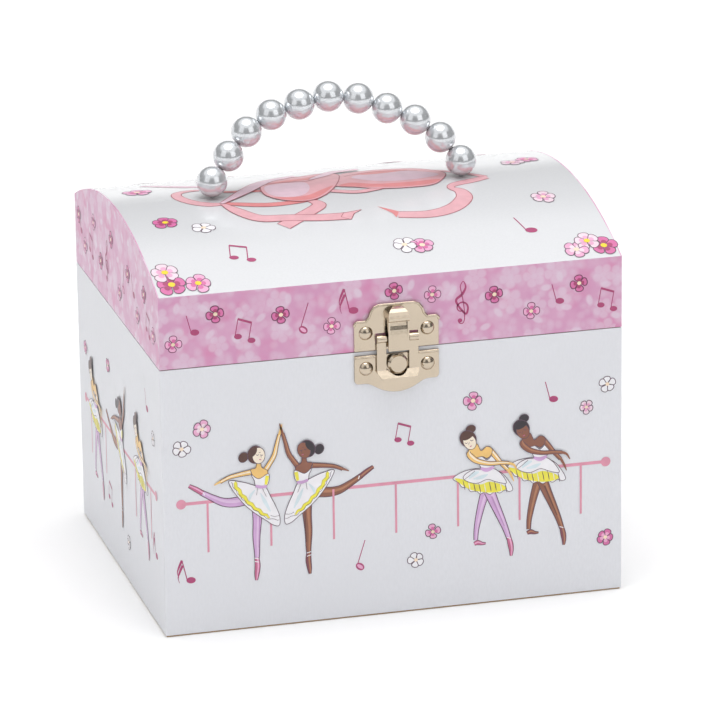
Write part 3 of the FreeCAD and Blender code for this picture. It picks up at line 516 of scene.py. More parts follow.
def stroke(face, points, ink, width=LINE, closed=False, smooth=True):
    """A line through (across, up) points, or (across, up, width) points for one that swells and thins."""
    full = [tuple(p) if len(p) == 3 else (p[0], p[1], width) for p in points]
    path = curve_through(full, closed) if smooth else full
    if closed:
        path.append(path[0])
    sides = []
    for index, (u, v, w) in enumerate(path):
        before = path[max(index - 1, 0)]
        after = path[min(index + 1, len(path) - 1)]
        if closed and index in (0, len(path) - 1):
            before, after = path[-2], path[1]
        along = Vector((after[0] - before[0], after[1] - before[1]))
        if along.length < 1e-6:
            along = Vector((1, 0))
        along.normalize()
        sides.append((u - along.y * w / 2, v + along.x * w / 2))
        sides.append((u + along.y * w / 2, v - along.x * w / 2))
    quads = [(2 * i, 2 * i + 1, 2 * i + 3, 2 * i + 2) for i in range(len(path) - 1)]
    store(face, ink, sides, quads, next_lift())


def outlined(face, points, ink, line="dark", width=LINE, smooth=True):
    outline = fill(face, points, ink, smooth)
    stroke(face, outline, line, width, closed=True, smooth=False)


def limb(face, points, ink, line="dark", edge=0.3):
    """A tapered limb: the path drawn wider in the line's ink, then in its own, then lit along one side."""
    wider = [(u, v, w + 2 * edge) for u, v, w in points]
    stroke(face, wider, line)
    stroke(face, points, ink)
    if ink in LIT_SIDE:
        stroke(face, [(u + 0.16 * w, v + 0.1 * w, 0.34 * w) for u, v, w in points], LIT_SIDE[ink])


def rippled(points, depth, waves):
    """A smooth line through the points that sways from side to side, as a frill's edge does."""
    path = curve_through(points)
    out = []
    for index, point in enumerate(path):
        before, after = path[max(index - 1, 0)], path[min(index + 1, len(path) - 1)]
        along = Vector((after[0] - before[0], after[1] - before[1])).normalized()
        sway = depth * math.sin(2 * math.pi * waves * index / (len(path) - 1))
        out.append((point[0] - along.y * sway, point[1] + along.x * sway) + tuple(point[2:]))
    return out


def oval(centre, half_long, half_wide, turn=0, count=14):
    c, s = math.cos(math.radians(turn)), math.sin(math.radians(turn))
    out = []
    for index in range(count):
        a = 2 * math.pi * index / count
        x, y = half_long * math.cos(a), half_wide * math.sin(a)
        out.append((centre[0] + c * x - s * y, centre[1] + s * x + c * y))
    return out


def petal(centre, reach, breadth, turn):
    """Rounded petal from a flower's heart outward."""
    c, s = math.cos(math.radians(turn)), math.sin(math.radians(turn))
    shape = [(0.1, 0), (0.34, 0.26), (0.62, 0.5), (0.9, 0.38), (1, 0), (0.9, -0.38), (0.62, -0.5),
            (0.34, -0.26)]
    return [(centre[0] + c * reach * a - s * breadth * b, centre[1] + s * reach * a + c * breadth * b)
            for a, b in shape]


def flower(face, centre, reach, petals, ink, second=None, line="dark", heart="cream", turn=90, width=LINE):
    """Petals of slightly different lengths, each darker towards the heart."""
    new_motif()
    breadth = reach * (0.92 if petals == 4 else 0.86)
    for index in range(petals):
        angle = turn + 360 * index / petals + 5 * math.sin(2.3 * index)
        long = reach * (1 + 0.07 * math.cos(2.1 * index + turn))
        outlined(face, petal(centre, long, breadth, angle), ink, line, width)
        if second:
            fill(face, petal(centre, long * 0.62, breadth * 0.5, angle - 8), second)
    fill(face, oval(centre, reach * 0.24, reach * 0.22), heart)


class Motif:
    """One printed thing. Its points are measured from a place on the face, and mirrored by a flip of -1."""

    def __init__(self, face, at, size=1, flip=1):
        self.face = face
        self.at = at
        self.size = size
        self.flip = flip
        new_motif()

    def spot(self, across, up):
        return (self.at[0] + self.flip * self.size * across, self.at[1] + self.size * up)

    def on(self, points):
        """The points on the face. A third value is the width of a line there."""
        return [self.spot(*point[:2]) + tuple(self.size * width for width in point[2:]) for point in points]

    def fill(self, points, ink):
        fill(self.face, self.on(points), ink)

    def outlined(self, points, ink, width):
        outlined(self.face, self.on(points), ink, width=width)

    def stroke(self, points, ink, width=LINE, smooth=True):
        stroke(self.face, self.on(points), ink, width * self.size, smooth=smooth)

    def limb(self, points, ink, edge=0.3):
        limb(self.face, self.on(points), ink, edge=edge)


def flowers(face, rows):
    for across, up, reach, petals, ink, second, turn, *gold in rows:
        flower(face, (across, up), reach, petals, ink, second, heart=gold[0] if gold else "cream", turn=turn)


# Notes: the head's middle is the place given

def quarter_note(face, at, size):
    note = Motif(face, at, size)
    note.fill(oval((0, 0), 1.65, 1.15, -6), "magenta")
    note.stroke([(-1.4, 0.4), (-3, 6.6)], "magenta", 0.32, smooth=False)


def half_note(face, at, size):
    note = Motif(face, at, size)
    note.fill(oval((0, 0), 1.7, 1.25, -38), "magenta")
    note.fill(oval((0, 0), 1.25, 0.62, -38), "pink")
    note.stroke([(-0.8, 1.2), (1.9, 9.6)], "magenta", 0.32, smooth=False)


def beamed_notes(face, at, size):
    pair = Motif(face, at, size)
    for across, up in ((0, 0), (4.5, -1.7)):
        pair.fill(oval((across, up), 1.32, 0.92, -6), "magenta")
        pair.stroke([(across - 1, up), (across + 0.1, up + 6)], "magenta", 0.3, smooth=False)
    pair.stroke([(0, 6), (4.7, 4.3)], "magenta", 0.75, smooth=False)


def sixteenth_note(face, at, size):
    note = Motif(face, at, size)
    note.fill(oval((0, 0), 1.65, 1.15, -6), "magenta")
    note.stroke([(-1.4, 0.3), (-3.1, 7.6)], "magenta", 0.36, smooth=False)
    for drop in (0, 1.9):
        u, v = 0.12 * drop - 3.1, 7.6 - drop
        flag = [(u, v, 0.9), (u - 1.1, v - 2.4, 0.7), (u - 1.7, v - 4.4, 0.3), (u - 1.2, v - 6.4, 0.12)]
        note.stroke(flag, "magenta")


def treble_clef(face, at, size):
    """Spiral round the middle, up over the top loop and down the long stem to its dot."""
    clef = Motif(face, at, size)
    path = []
    for step in range(9):
        angle = math.radians(-60 - 45 * step)
        radius = 1.1 + 0.19 * step
        path.append((radius * math.cos(angle), -1 + radius * math.sin(angle), 0.35 + 0.05 * step))
    path += [(-2, 1.6, 0.8), (0.2, 3.9, 1), (1.5, 6.2, 0.7), (1.2, 8, 0.4), (0.5, 8.6, 0.3), (-0.4, 7, 0.35),
             (0, 4.6, 0.35), (0.8, 0, 0.35), (1.1, -4.6, 0.35), (0.5, -6.6, 0.35), (-0.7, -6.6, 0.4),
             (-1.1, -5.8, 0.5)]
    clef.stroke(path, "magenta")
    clef.fill(oval((-0.6, -5.6), 0.85, 0.75), "magenta")


def notes(face, rows):
    for draw, at, size in rows:
        draw(face, at, size)


# Dancers

# A cast is the inks of one dancer: skin, face, hair, tights, their shaded side, and shoes
LIGHT_CAST = ("light_skin", "light_face", "brown_hair", "lilac", "lilac_shade", "shoe")
DARK_CAST = ("dark_skin", "dark_skin", "black_hair", "dark_skin", "dark_skin_shade", "brown_shoe")


def closed_eye(face, at, half):
    lid = [(at[0] - half, at[1] + 0.25, 0.12), (at[0], at[1] - 0.1, 0.22), (at[0] + half, at[1] + 0.2, 0.12)]
    stroke(face, lid, "dark")


def profile_head(doll, skin, hair):
    """Head with the hair drawn back into a bun and the eyes lowered."""
    face, flip = doll.face, doll.flip
    tilt = 100 - 14 * flip
    for long, wide, ink in ((1.95, 1.7, "dark"), (1.75, 1.5, hair)):
        fill(face, oval(doll.spot(-3.9, 45.7), long, wide, 60), ink)
    outlined(face, oval(doll.spot(0.35, 46.3), 3.15, 2.7, tilt), hair)
    outlined(face, oval(doll.spot(1.55, 45.85), 2.95, 2.25, tilt + 6 * flip), skin, width=0.2)
    fill(face, oval(doll.spot(-0.25, 47.35), 1.9, 1, 60 * flip), hair)
    closed_eye(face, doll.spot(1.1, 46.1), 0.55)
    closed_eye(face, doll.spot(2.7, 45.9), 0.4)
    doll.stroke([(1.6, 46.9), (2.2, 47)], "dark", 0.14)
    doll.stroke([(2.2, 46.2, 0.12), (2.45, 45.1, 0.16)], "dark")
    doll.stroke([(1.7, 44.4), (2.4, 44.3)], "shoe", 0.32, smooth=False)


def arabesque_dancer(face, at, cast, flip=1):
    """Dancer on one toe, one leg lifted behind and one arm raised; at is where the toe stands."""
    doll = Motif(face, at, flip=flip)
    skin, head_skin, hair, tights, shade_ink, shoe = cast
    doll.limb([(-1, 30.5, 3.4), (-6.5, 29.6, 3.2), (-11, 30, 2.6), (-15, 32, 1.9), (-19, 34.4, 1.5)],
            tights)
    doll.limb([(-18.4, 34, 1.5), (-20.6, 35.6, 1.5), (-23.2, 37.2, 1)], shoe, 0.22)
    doll.stroke([(-18.2, 34.4), (-17.8, 33.2)], "white", 0.35, smooth=False)
    doll.limb([(0.9, 27.5, 3.6), (0.7, 22, 2.7), (0.3, 16, 2.2), (0.4, 10, 1.5), (0.3, 7.6, 1.2)],
            tights)
    doll.stroke([(1.6, 26, 0.5), (1.4, 19, 0.5), (1.1, 12, 0.3)], shade_ink)
    doll.limb([(0.3, 8.4, 1.3), (0.5, 5.5, 1.7), (0.2, 2.5, 1.4), (0, 0.2, 0.6)], shoe, 0.22)
    doll.stroke([(-0.5, 8.4), (1, 8)], "white", 0.3, smooth=False)
    doll.stroke([(-0.5, 7.2), (1, 6.8)], "white", 0.3, smooth=False)
    skirt = [(0.6, 34.8), (-4, 36.6), (-9, 37.6), (-8, 34.4), (-5.6, 30.8), (-3.2, 27.8), (0, 24.8),
            (3.6, 22), (6.4, 19.9), (8.5, 19.6), (8.7, 22.8), (7.4, 26.6), (5.6, 30.4), (3.8, 34)]
    doll.outlined(skirt, "white", 0.24)
    band = rippled([(-7.2, 36.8, 0.9), (-5.2, 32.9, 1.1), (-2, 28.8, 1), (2, 25, 1), (5.2, 22.8, 0.3)],
            0.28, 6)
    doll.stroke([(u, v, w + 0.3) for u, v, w in band], "gold_line", smooth=False)
    doll.stroke(band, "yellow", smooth=False)
    hem = rippled([(-8.3, 37), (-6.6, 33.6), (-4.6, 30.8), (-2, 27.9), (1, 25.2), (4.2, 22.6),
            (8.5, 21.6)], 0.22, 8)
    doll.stroke(hem, "dark", 0.16, smooth=False)
    doll.stroke([(5.4, 23.6), (6.8, 23), (8.6, 23.2)], "dark", 0.14)
    doll.stroke([(2, 32, 0.3), (3.6, 28.6, 1.3), (5.4, 25, 0.4)], "ice")
    doll.stroke([(0, 33.4, 0.3), (-1.6, 31.4, 1), (-2, 29.6, 0.3)], "ice")
    doll.stroke([(1, 34.2), (0.6, 31.4)], "dark", 0.14)
    doll.stroke([(2.6, 34), (4, 30.6)], "dark", 0.14)
    doll.limb([(-1.4, 40, 1.7), (-5, 39.6, 1.4), (-9, 38.9, 1.1), (-12.2, 37.5, 0.9)], skin, 0.22)
    doll.stroke([(-12, 37.7, 0.9), (-13.2, 37.2, 0.7), (-14.4, 36.6, 0.3)], skin)
    doll.limb([(3.2, 39.4, 1.7), (5.2, 42.2, 1.5), (7, 45.2, 1.4), (8, 49, 1.1), (9, 52.8, 0.9)],
            skin, 0.22)
    doll.stroke([(9, 52.6, 0.9), (9.6, 54.8, 0.7), (10, 56.4, 0.25)], skin)
    chest = [(-1.4, 40.8), (0.4, 41.4), (0.9, 43.4), (2.2, 43.6), (2.6, 41.4), (4.6, 40), (4, 37.6),
            (0.6, 37)]
    doll.outlined(chest, skin, 0.2)
    doll.outlined([(-1.2, 39.2), (1.4, 37.4), (4.4, 38.8), (5.2, 38.2), (4.4, 34.8), (0.6, 34.6),
            (-0.2, 37)], "white", 0.22)
    doll.stroke([(4.5, 38.2, 1.3), (4.2, 36.6, 1.2), (3.9, 35, 0.9)], "yellow")
    doll.stroke([(0.3, 34.9, 1), (2.2, 34.3, 1.1), (4.2, 34.4, 1)], "lilac")
    profile_head(doll, head_skin, hair)


def leaning_dancer(face, at, cast):
    """Dancer bowing sideways with both arms swept down; at is the toe of the forward foot."""
    doll = Motif(face, at)
    skin, head_skin, hair, tights, shade_ink, shoe = cast
    doll.limb([(-9.2, 25, 3), (-10.6, 20.5, 2.4), (-11.8, 15.5, 1.9), (-12.6, 11, 1.4),
            (-12.8, 7.4, 1.1)], tights)
    doll.limb([(-13.4, 6, 1), (-12.2, 6.4, 1.5), (-10.6, 5.9, 0.9), (-9.2, 5.8, 0.4)], shoe, 0.2)
    doll.limb([(-7.8, 25, 3.5), (-6, 20.4, 2.9), (-3.9, 15.4, 2.3), (-2, 10.6, 1.7),
            (-0.7, 6.6, 1.3)], tights)
    doll.stroke([(-7, 23, 0.6), (-4.6, 17, 0.5), (-2.4, 11.6, 0.3)], shade_ink)
    doll.limb([(-0.8, 7.2, 1.3), (-0.2, 4.6, 1.7), (0.1, 2.2, 1.3), (0, 0.2, 0.6)], shoe, 0.2)
    doll.stroke([(-1.5, 7.2), (-0.1, 6.7)], "white", 0.28, smooth=False)
    frill = [(-21, 31), (-18.2, 32.9), (-14, 33.8), (-8, 33.6), (-3.4, 31.4), (-0.4, 27.6), (0.7, 24.9),
            (-0.6, 24.2), (-2.2, 24.9), (-4, 24), (-5.8, 24.7), (-7.6, 23.8), (-9.4, 24.8), (-11.2, 24.4),
            (-12.6, 25.6), (-14.6, 25.6), (-15.8, 27.2), (-17.8, 27.6), (-19, 29.4)]
    doll.outlined(frill, "white", 0.22)
    yellow = [(-20.4, 31), (-17.4, 30.4), (-14.6, 28.8), (-11, 27.9), (-8, 28.6), (-5, 27.8),
            (-2.8, 26.8), (-1.6, 25.4), (-4, 24.6), (-7.6, 24.5), (-11, 25.2), (-14.6, 26.3),
            (-17.6, 28.3)]
    doll.fill(yellow, "yellow")
    for k in range(9):
        u = -17.4 + 1.9 * k
        top = 29.6 - 0.24 * k + 0.5 * math.cos(k)
        doll.stroke([(u, top, 0.12), (u + 0.5, top - 2.2, 0.3), (u + 0.7, top - 3.6, 0.12)],
               "white" if k % 3 == 1 else "dark")
    bell = [(-10.6, 33.4), (-13.6, 33.6), (-16.6, 32.2), (-17.2, 30.6), (-14.8, 29), (-12, 28.5),
            (-8.6, 29.5), (-5.6, 28.4), (-3.2, 27.6), (-1.6, 27.6), (-2.6, 29.8), (-4.6, 32.2),
            (-6.8, 33.4)]
    doll.outlined(bell, "white", 0.22)
    doll.stroke([(-15.2, 30.6, 0.6), (-13.6, 32, 1.6), (-11.6, 32.6, 0.6)], "ice")
    doll.stroke([(-13.6, 30.2, 0.4), (-10.6, 30.6, 1.4), (-8.4, 31.4, 0.4)], "ice")
    doll.stroke([(-16.8, 30.4), (-15, 31.6), (-13, 33.2)], "dark", 0.16)
    doll.outlined([(-12.6, 38.4), (-10.6, 38.2), (-8.6, 36.8), (-6.4, 38.6), (-5.4, 37), (-6, 34.4),
            (-8.4, 33.6), (-10.6, 33.8), (-11.6, 35.8)], "white", 0.22)
    doll.stroke([(-11, 33.9, 0.9), (-8.7, 33.1, 1.5), (-6.2, 33.9, 0.9)], "lilac")
    doll.limb([(-8.6, 41.4, 0.5), (-7.8, 40.6, 1.5), (-5.6, 37.8, 1.5), (-3.4, 34.9, 1.2),
            (-1.2, 32.4, 1)], skin, 0.22)
    doll.stroke([(-1.2, 32.6, 1), (0, 30.4, 0.8), (1, 27.9, 0.3)], skin)
    chest = [(-14.2, 42.6), (-15.3, 40.8), (-14.8, 39), (-12.6, 38), (-10.4, 38.2), (-8.6, 37.4),
            (-7, 38.8), (-6.9, 40.8), (-8.8, 41.7), (-10.8, 40.4), (-12.2, 43)]
    doll.outlined(chest, skin, 0.2)
    doll.limb([(-15.1, 40.6, 0.5), (-15.2, 39.6, 1.5), (-14.2, 38.2, 1.8), (-12, 36.6, 1.6),
            (-8, 35.4, 1.3), (-4, 35.2, 1.1), (-0.6, 34.8, 0.9)], skin, 0.22)
    doll.stroke([(-0.8, 34.8, 1), (1, 34, 0.8), (2.2, 32, 0.35)], skin)
    for long, wide, ink in ((1.85, 1.55, "dark"), (1.65, 1.35, hair)):
        doll.fill(oval((-14.5, 48.7), long, wide, 10), ink)
    doll.outlined(oval((-15.5, 45.2), 3.25, 2.75, 128), hair, LINE)
    doll.outlined(oval((-14.95, 44.05), 2.95, 2.2, 118), head_skin, 0.2)
    doll.fill(oval((-15.5, 46.15), 2.2, 1, 28), hair)
    closed_eye(face, doll.spot(-14.2, 44.5), 0.6)
    closed_eye(face, doll.spot(-16.2, 43.7), 0.5)
    doll.stroke([(-15.1, 44.1, 0.12), (-15.3, 43.1, 0.16)], "dark")
    doll.stroke([(-14.9, 42.3), (-14.2, 42.6)], "shoe", 0.3, smooth=False)


def barre(face, start, end, height, posts, foot):
    """Practice rail with a ball at each end and thin posts under it."""
    new_motif()
    stroke(face, [(start, height), (end, height)], "barre", 1.15, smooth=False)
    for across in posts:
        stroke(face, [(across, height), (across, foot)], "barre", 0.75, smooth=False)
    for across in (start, end):
        fill(face, oval((across, height), 1.75, 1.75), "barre")


def print_front():
    barre(front, -76.1, 76.7, 48.2, [-66.8 + 22.4 * k for k in range(7)], 29.8)
    arabesque_dancer(front, (-50, 17.5), LIGHT_CAST)
    arabesque_dancer(front, (-30.8, 17.8), DARK_CAST, flip=-1)
    leaning_dancer(front, (42, 16.6), LIGHT_CAST)
    leaning_dancer(front, (61.3, 18.6), DARK_CAST)
    flowers(front, (
        (-75.5, 68.3, 3.1, 5, "white", None, 60), (-68.2, 74.8, 3.2, 5, "pink", "blush", 70),
        (28.5, 75.5, 3.4, 4, "pink", "rose", 85), (69.6, 69.1, 2.5, 5, "blush", "pink", 50),
        (77.3, 76.8, 3, 5, "white", None, 20), (13.6, 28.8, 2.7, 4, "pink", "rose", 100),
        (7.4, 19, 2.9, 5, "white", None, 40), (76.6, 20.1, 3, 5, "rose", "pink", 64),
    ))
    notes(front, (
        (sixteenth_note, (-73.2, 20.2), 1), (half_note, (-12.8, 18.7), 1), (beamed_notes, (1.4, 63.9), 1),
        (quarter_note, (57.7, 73.2), 1),
    ))


def print_side(face):
    """Both short sides carry the rail and three dancers; across runs from back to front on the left."""
    barre(face, -56.5, 56.5, 48.6, [-48, -24, 0, 24, 48], 30)
    leaning_dancer(face, (-30, 17.6), LIGHT_CAST)
    arabesque_dancer(face, (0.8, 17.6), DARK_CAST)
    leaning_dancer(face, (43, 20), LIGHT_CAST)
    flowers(face, (
        (-55.1, 68.1, 2.6, 5, "pink", "rose", 80), (-17, 73, 2.8, 4, "rose", "pink", 60),
        (53.8, 68.6, 2.6, 5, "white", None, 30), (10.4, 15.6, 2.6, 5, "white", None, 50),
    ))
    notes(face, (
        (quarter_note, (45.5, 76.8), 1), (beamed_notes, (-20.6, 22.3), 1), (sixteenth_note, (55, 26), 1),
    ))


def print_back():
    barre(back, -76.4, 76.4, 48.2, [-66.8 + 22.4 * k for k in range(7) if k not in (3,)], 29.8)
    arabesque_dancer(back, (-50, 17.5), DARK_CAST)
    arabesque_dancer(back, (-30.8, 17.8), LIGHT_CAST, flip=-1)
    leaning_dancer(back, (42, 17.6), DARK_CAST)
    leaning_dancer(back, (61.3, 18.6), LIGHT_CAST)
    flowers(back, (
        (-72, 74, 3.2, 5, "pink", "blush", 70), (10, 76, 3.4, 4, "pink", "rose", 85),
        (72, 66, 3, 5, "white", None, 20), (14, 66, 2.4, 5, "white", None, 40),
    ))
    notes(back, (
        (half_note, (-14, 66), 1), (quarter_note, (76, 26), 1), (sixteenth_note, (-73.2, 20.2), 1),
    ))


def band_blossoms(face, spots):
    """Four-petalled flowers at (across, up, strong) spots, deep pink where strong is true."""
    for across, up, strong in spots:
        if strong:
            flower(face, (across, up), 3.1, 4, "rose", "magenta", line="plum", turn=98, width=0.34)
        else:
            flower(face, (across, up), 2.9, 4, "pink", "rose", line="plum", turn=88, width=0.26)


def print_band_front():
    band_blossoms(band_front, (
        (-77.6, 106.1, False), (-62.6, 115.6, True), (-39.6, 113.2, True), (-21.8, 107.4, False),
        (0.6, 118, True), (14.1, 115.4, False), (36.4, 113.4, True), (49.6, 106.1, False),
        (67, 114.6, True),
    ))
    notes(band_front, (
        (quarter_note, (-69.9, 109.7), 0.95), (beamed_notes, (-54.8, 106.8), 1.05),
        (half_note, (-31.8, 107), 1), (sixteenth_note, (-13.9, 112.3), 1.05),
        (treble_clef, (24.6, 110.6), 0.98), (quarter_note, (60, 108.8), 0.95),
        (beamed_notes, (74.9, 105.9), 1.02),
    ))


def print_band_side(face):
    band_blossoms(face, (
        (-60, 117, True), (-50, 108, False), (-35, 121, False), (-24, 110, True), (-6, 123, True),
        (6, 107, False), (20, 118, True), (34, 107, False), (45, 118, True), (58, 107, False),
    ))
    notes(face, (
        (quarter_note, (-56, 112), 0.95), (beamed_notes, (-42, 109), 1), (treble_clef, (-14, 112), 0.98),
        (half_note, (12.5, 110), 1), (quarter_note, (29, 113), 1), (beamed_notes, (48, 106.5), 1),
    ))


def print_band_back():
    band_blossoms(band_back, (
        (-72, 106, False), (-62, 117, True), (-26, 112, True), (-6, 106, False), (6, 118, True),
        (24, 108, False), (66, 106, True), (76, 116, False),
    ))
    notes(band_back, (
        (quarter_note, (-16, 112), 1), (half_note, (15, 107), 1), (beamed_notes, (70, 109.5), 1),
        (sixteenth_note, (-68, 109.5), 1),
    ))


def ribbon(points, ink="coral_light", edge=0.32):
    limb(dome, points, ink, "coral_line", edge)


def print_slippers():
    """A pair of ballet slippers lying across the crown, tied with long ribbons."""
    new_motif()
    ribbon([(-66, 30, 2), (-57, 22, 3), (-48, 17, 2.4), (-38, 17, 1.6)], "coral_pale", 0.2)
    ribbon([(-47, 10.6, 1.6), (-53.5, 10.8, 2), (-58, 8, 3), (-58.4, 2, 3.6), (-55, -4.4, 3.8),
            (-50, -8, 3.4), (-44.6, -8.6, 1.8)])
    ribbon([(-48, 7.6, 1.2), (-38, 4.2, 2), (-27, 2.4, 2.2)], "coral")
    ribbon([(-45, -8, 1.6), (-39, -10.8, 3), (-30, -13.4, 3.2), (-20, -13, 2.8), (-12, -11, 2)], "coral")
    ribbon([(-15, -12.6, 2.2), (-12.8, -17.4, 4.6), (-18, -23, 4.8), (-29.4, -32, 5.2)])
    ribbon([(-45.4, -8.8, 1.6), (-42, -17, 4.4), (-36, -24.4, 4.8), (-26, -26, 4.4), (-15, -28, 4.6),
            (-4.6, -28.6, 4.8)])
    outlined(dome, [(-6.4, -26.2), (0.5, -24.8), (-2.8, -27.2), (-5, -31.6), (-8, -29)], "coral_light",
            "coral_line", 0.3, smooth=False)
    ribbon([(-5, -5, 2.6), (3, -8.4, 2.6), (10, -7.2, 2.6), (17, -4.8, 2.2), (26, -4, 1.4)])
    toe = [(-3, 1), (1, 8.6), (3, 15.4), (9, 18.4), (20, 18.8), (31, 15.4), (38, 7.4), (38.6, 1.6),
            (32, -7.4), (22, -8.6), (12, -7), (4, -3.2)]
    outlined(dome, toe, "coral_light", "coral_line", 0.36)
    fill(dome, [(-1, 0), (4, -2.6), (14, -6), (24, -7.4), (32, -6.2), (35, -2.4), (24, -2.8), (12, -1.6),
            (4, 2.4)], "coral")
    fill(dome, [(6, 9), (12, 13.6), (22, 14.4), (32, 9.4), (36.4, 3), (26, -0.2), (14, 1.4)], "coral_pale")
    fill(dome, [(9, 14.6), (18, 16.6), (28, 14.2), (20, 12.2), (12, 12)], "coral")
    stroke(dome, [(4, 12, 0.3), (11, 15, 0.5), (20, 15.2, 0.5), (31, 11, 0.3)], "coral_line")
    shoe = [(-28.4, 5), (-28.8, -3), (-25.6, -9), (-19, -13), (-13, -12.4), (-7, -7.4), (-2, 0.6),
            (1.6, 9.6), (2.6, 17), (-3, 20.6), (-10.6, 18.4), (-18.6, 16.4), (-25.6, 12.6)]
    outlined(dome, shoe, "coral_light", "coral_line", 0.4)
    fill(dome, [(-26.6, -7), (-19.4, -12), (-13.4, -11.6), (-8, -7), (-3, 0.6), (-8.6, -3.4), (-14, -7.6),
            (-20, -8.4)], "coral")
    fill(dome, [(-27, 5), (-27.4, -2.4), (-24.4, -7), (-18.6, -8.2), (-14, -5), (-11.4, 1.4), (-11.6, 8),
            (-17, 9.4), (-24, 8.6)], "coral_pale")
    fill(dome, [(-25, 10.4), (-17.6, 13.4), (-9, 15), (-4.6, 18), (-5.4, 12.6), (-15.6, 11)], "coral")
    stroke(dome, [(-27, 9.4, 0.3), (-19, 10.6, 0.6), (-10.4, 9.6, 0.6), (-5, 13.6, 0.3)], "coral_line")
    ribbon([(-45.8, -8.6, 1.2), (-41, -4, 2.6), (-34, 3.6, 4.6), (-28, 10.6, 4.6), (-22, 15.8, 3.2),
            (-12, 20, 2)], "coral_pale")
    ribbon([(-8.6, 11.6, 1.2), (-3, 16.4, 3.4), (3, 21.6, 3.4), (12, 23, 2)], "coral_pale")
    new_motif()
    ribbon([(34, 12, 1), (42, 6, 1.4), (49, -1, 1.8), (51.6, -4.4, 2.4)])
    ribbon([(52, -4.6, 2.6), (46, -6.8, 3.6), (38.6, -9.4, 3), (36.6, -12.6, 2.2), (39, -16.4, 4.2),
            (38.4, -22.6, 5.6), (32.4, -29.4, 5.4), (23, -32.4, 4.6), (12, -30.8, 4.2)])
    fill(dome, [(13, -28.6), (6.6, -23), (10.4, -29.4), (11, -33)], "coral", smooth=False)


def print_dome():
    print_slippers()
    flowers(dome, (
        (-70.5, 16, 5, 5, "pink", "rose", 80), (-69, -21.2, 4.6, 5, "rose", "magenta", 90, "gold"),
        (-57, -27.8, 4, 5, "white", None, 60), (8.9, -50.4, 4.2, 5, "white", None, 50),
        (14.9, -51.6, 4.2, 5, "pink", "rose", 20), (66, -27.2, 4.4, 5, "blush", "pink", 75),
        (66.4, 12, 4.2, 5, "blush", "pink", 60), (72.6, 15, 4.2, 5, "pink", "rose", 30),
        (-67, -61, 4.6, 5, "pink", "rose", 70, "gold"),
        (-76.2, -60.6, 5.2, 5, "rose", "magenta", 90, "gold"),
        (-77, -54, 5, 5, "blush", "pink", 96, "gold"), (72.6, -57.4, 4.6, 5, "blush", "pink", 96, "gold"),
        (67.6, -61.4, 4.2, 5, "pink", "blush", 60), (77.8, -60.6, 4.8, 5, "rose", "magenta", 80, "gold"),
        (30, 46, 4.4, 5, "rose", "pink", 30), (-60, 50, 4.4, 5, "white", None, 10),
    ))
    notes(dome, (
        (beamed_notes, (-51.4, -49), 1.25), (quarter_note, (55.2, -48.6), 1.3),
        (quarter_note, (-30, 44), 1.3), (beamed_notes, (58, 44), 1.25),
    ))


def show(name, data, body):
    """Puts a mesh, lamp or camera in the scene, riding on a body if it has one."""
    thing = bpy.data.objects.new(name, data)
    bpy.context.scene.collection.objects.link(thing)
    if body:
        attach(thing, body)
    return thing


def make_mesh(name, points, faces, material, body, smooth=False):
    mesh = bpy.data.meshes.new(name)
    mesh.from_pydata([tuple(p) for p in points], [], faces)
    mesh.update()
    if smooth:
        mesh.shade_smooth()
    mesh.materials.append(material)
    return show(name, mesh, body)


def lay_down_prints():
    for (body, ink), pieces in printed.items():
        points, faces = [], []
        for own_points, own_faces in pieces:
            offset = len(points)
            points += own_points
            faces += [[offset + i for i in f] for f in own_faces]
        make_mesh("print_" + body + "_" + ink, points, faces, inks[ink], body)


print_front()
print_side(left)
print_side(right)
print_back()
print_band_front()
print_band_side(band_left)
print_band_side(band_right)
print_band_back()
print_dome()
lay_down_prints()


# ---------------------------------------------------------------- inside the box

FIGURE_ROUND = 20
ROLLS = 5
ROLL_CROWN = 5
ROLL_SUNK = 0.35
ROLL_ROUND = 48
ROLL_STEPS = 60
TUTU_PLEATS = 22
TUTU_STEPS = 10
TUTU_WAIST = 1.65
TUTU_SWING = 0.42
DANCER_DEPTH = (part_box("ballerina_tutu")[0][1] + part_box("ballerina_tutu")[1][1]) / 2 / mm

dancer_looks = {
    "skin": mottled("dancer_skin", rgb(242, 208, 184), 0.03, 90, 0.38, Coat_Weight=0.3),
    "hair": mottled("dancer_hair", rgb(104, 68, 48), 0.16, 700, 0.4, 0.2, Coat_Weight=0.2),
    "bodice": mottled("dancer_bodice", rgb(226, 142, 182), 0.06, 260, 0.32, 0.1, Coat_Weight=0.4),
    "tights": mottled("dancer_tights", rgb(246, 226, 224), 0.03, 140, 0.45, 0.1),
    "shoes": mottled("dancer_shoes", rgb(222, 128, 166), 0.05, 240, 0.3, Coat_Weight=0.4),
    "lips": mottled("dancer_lips", rgb(196, 84, 104), 0.05, 300, 0.35),
}


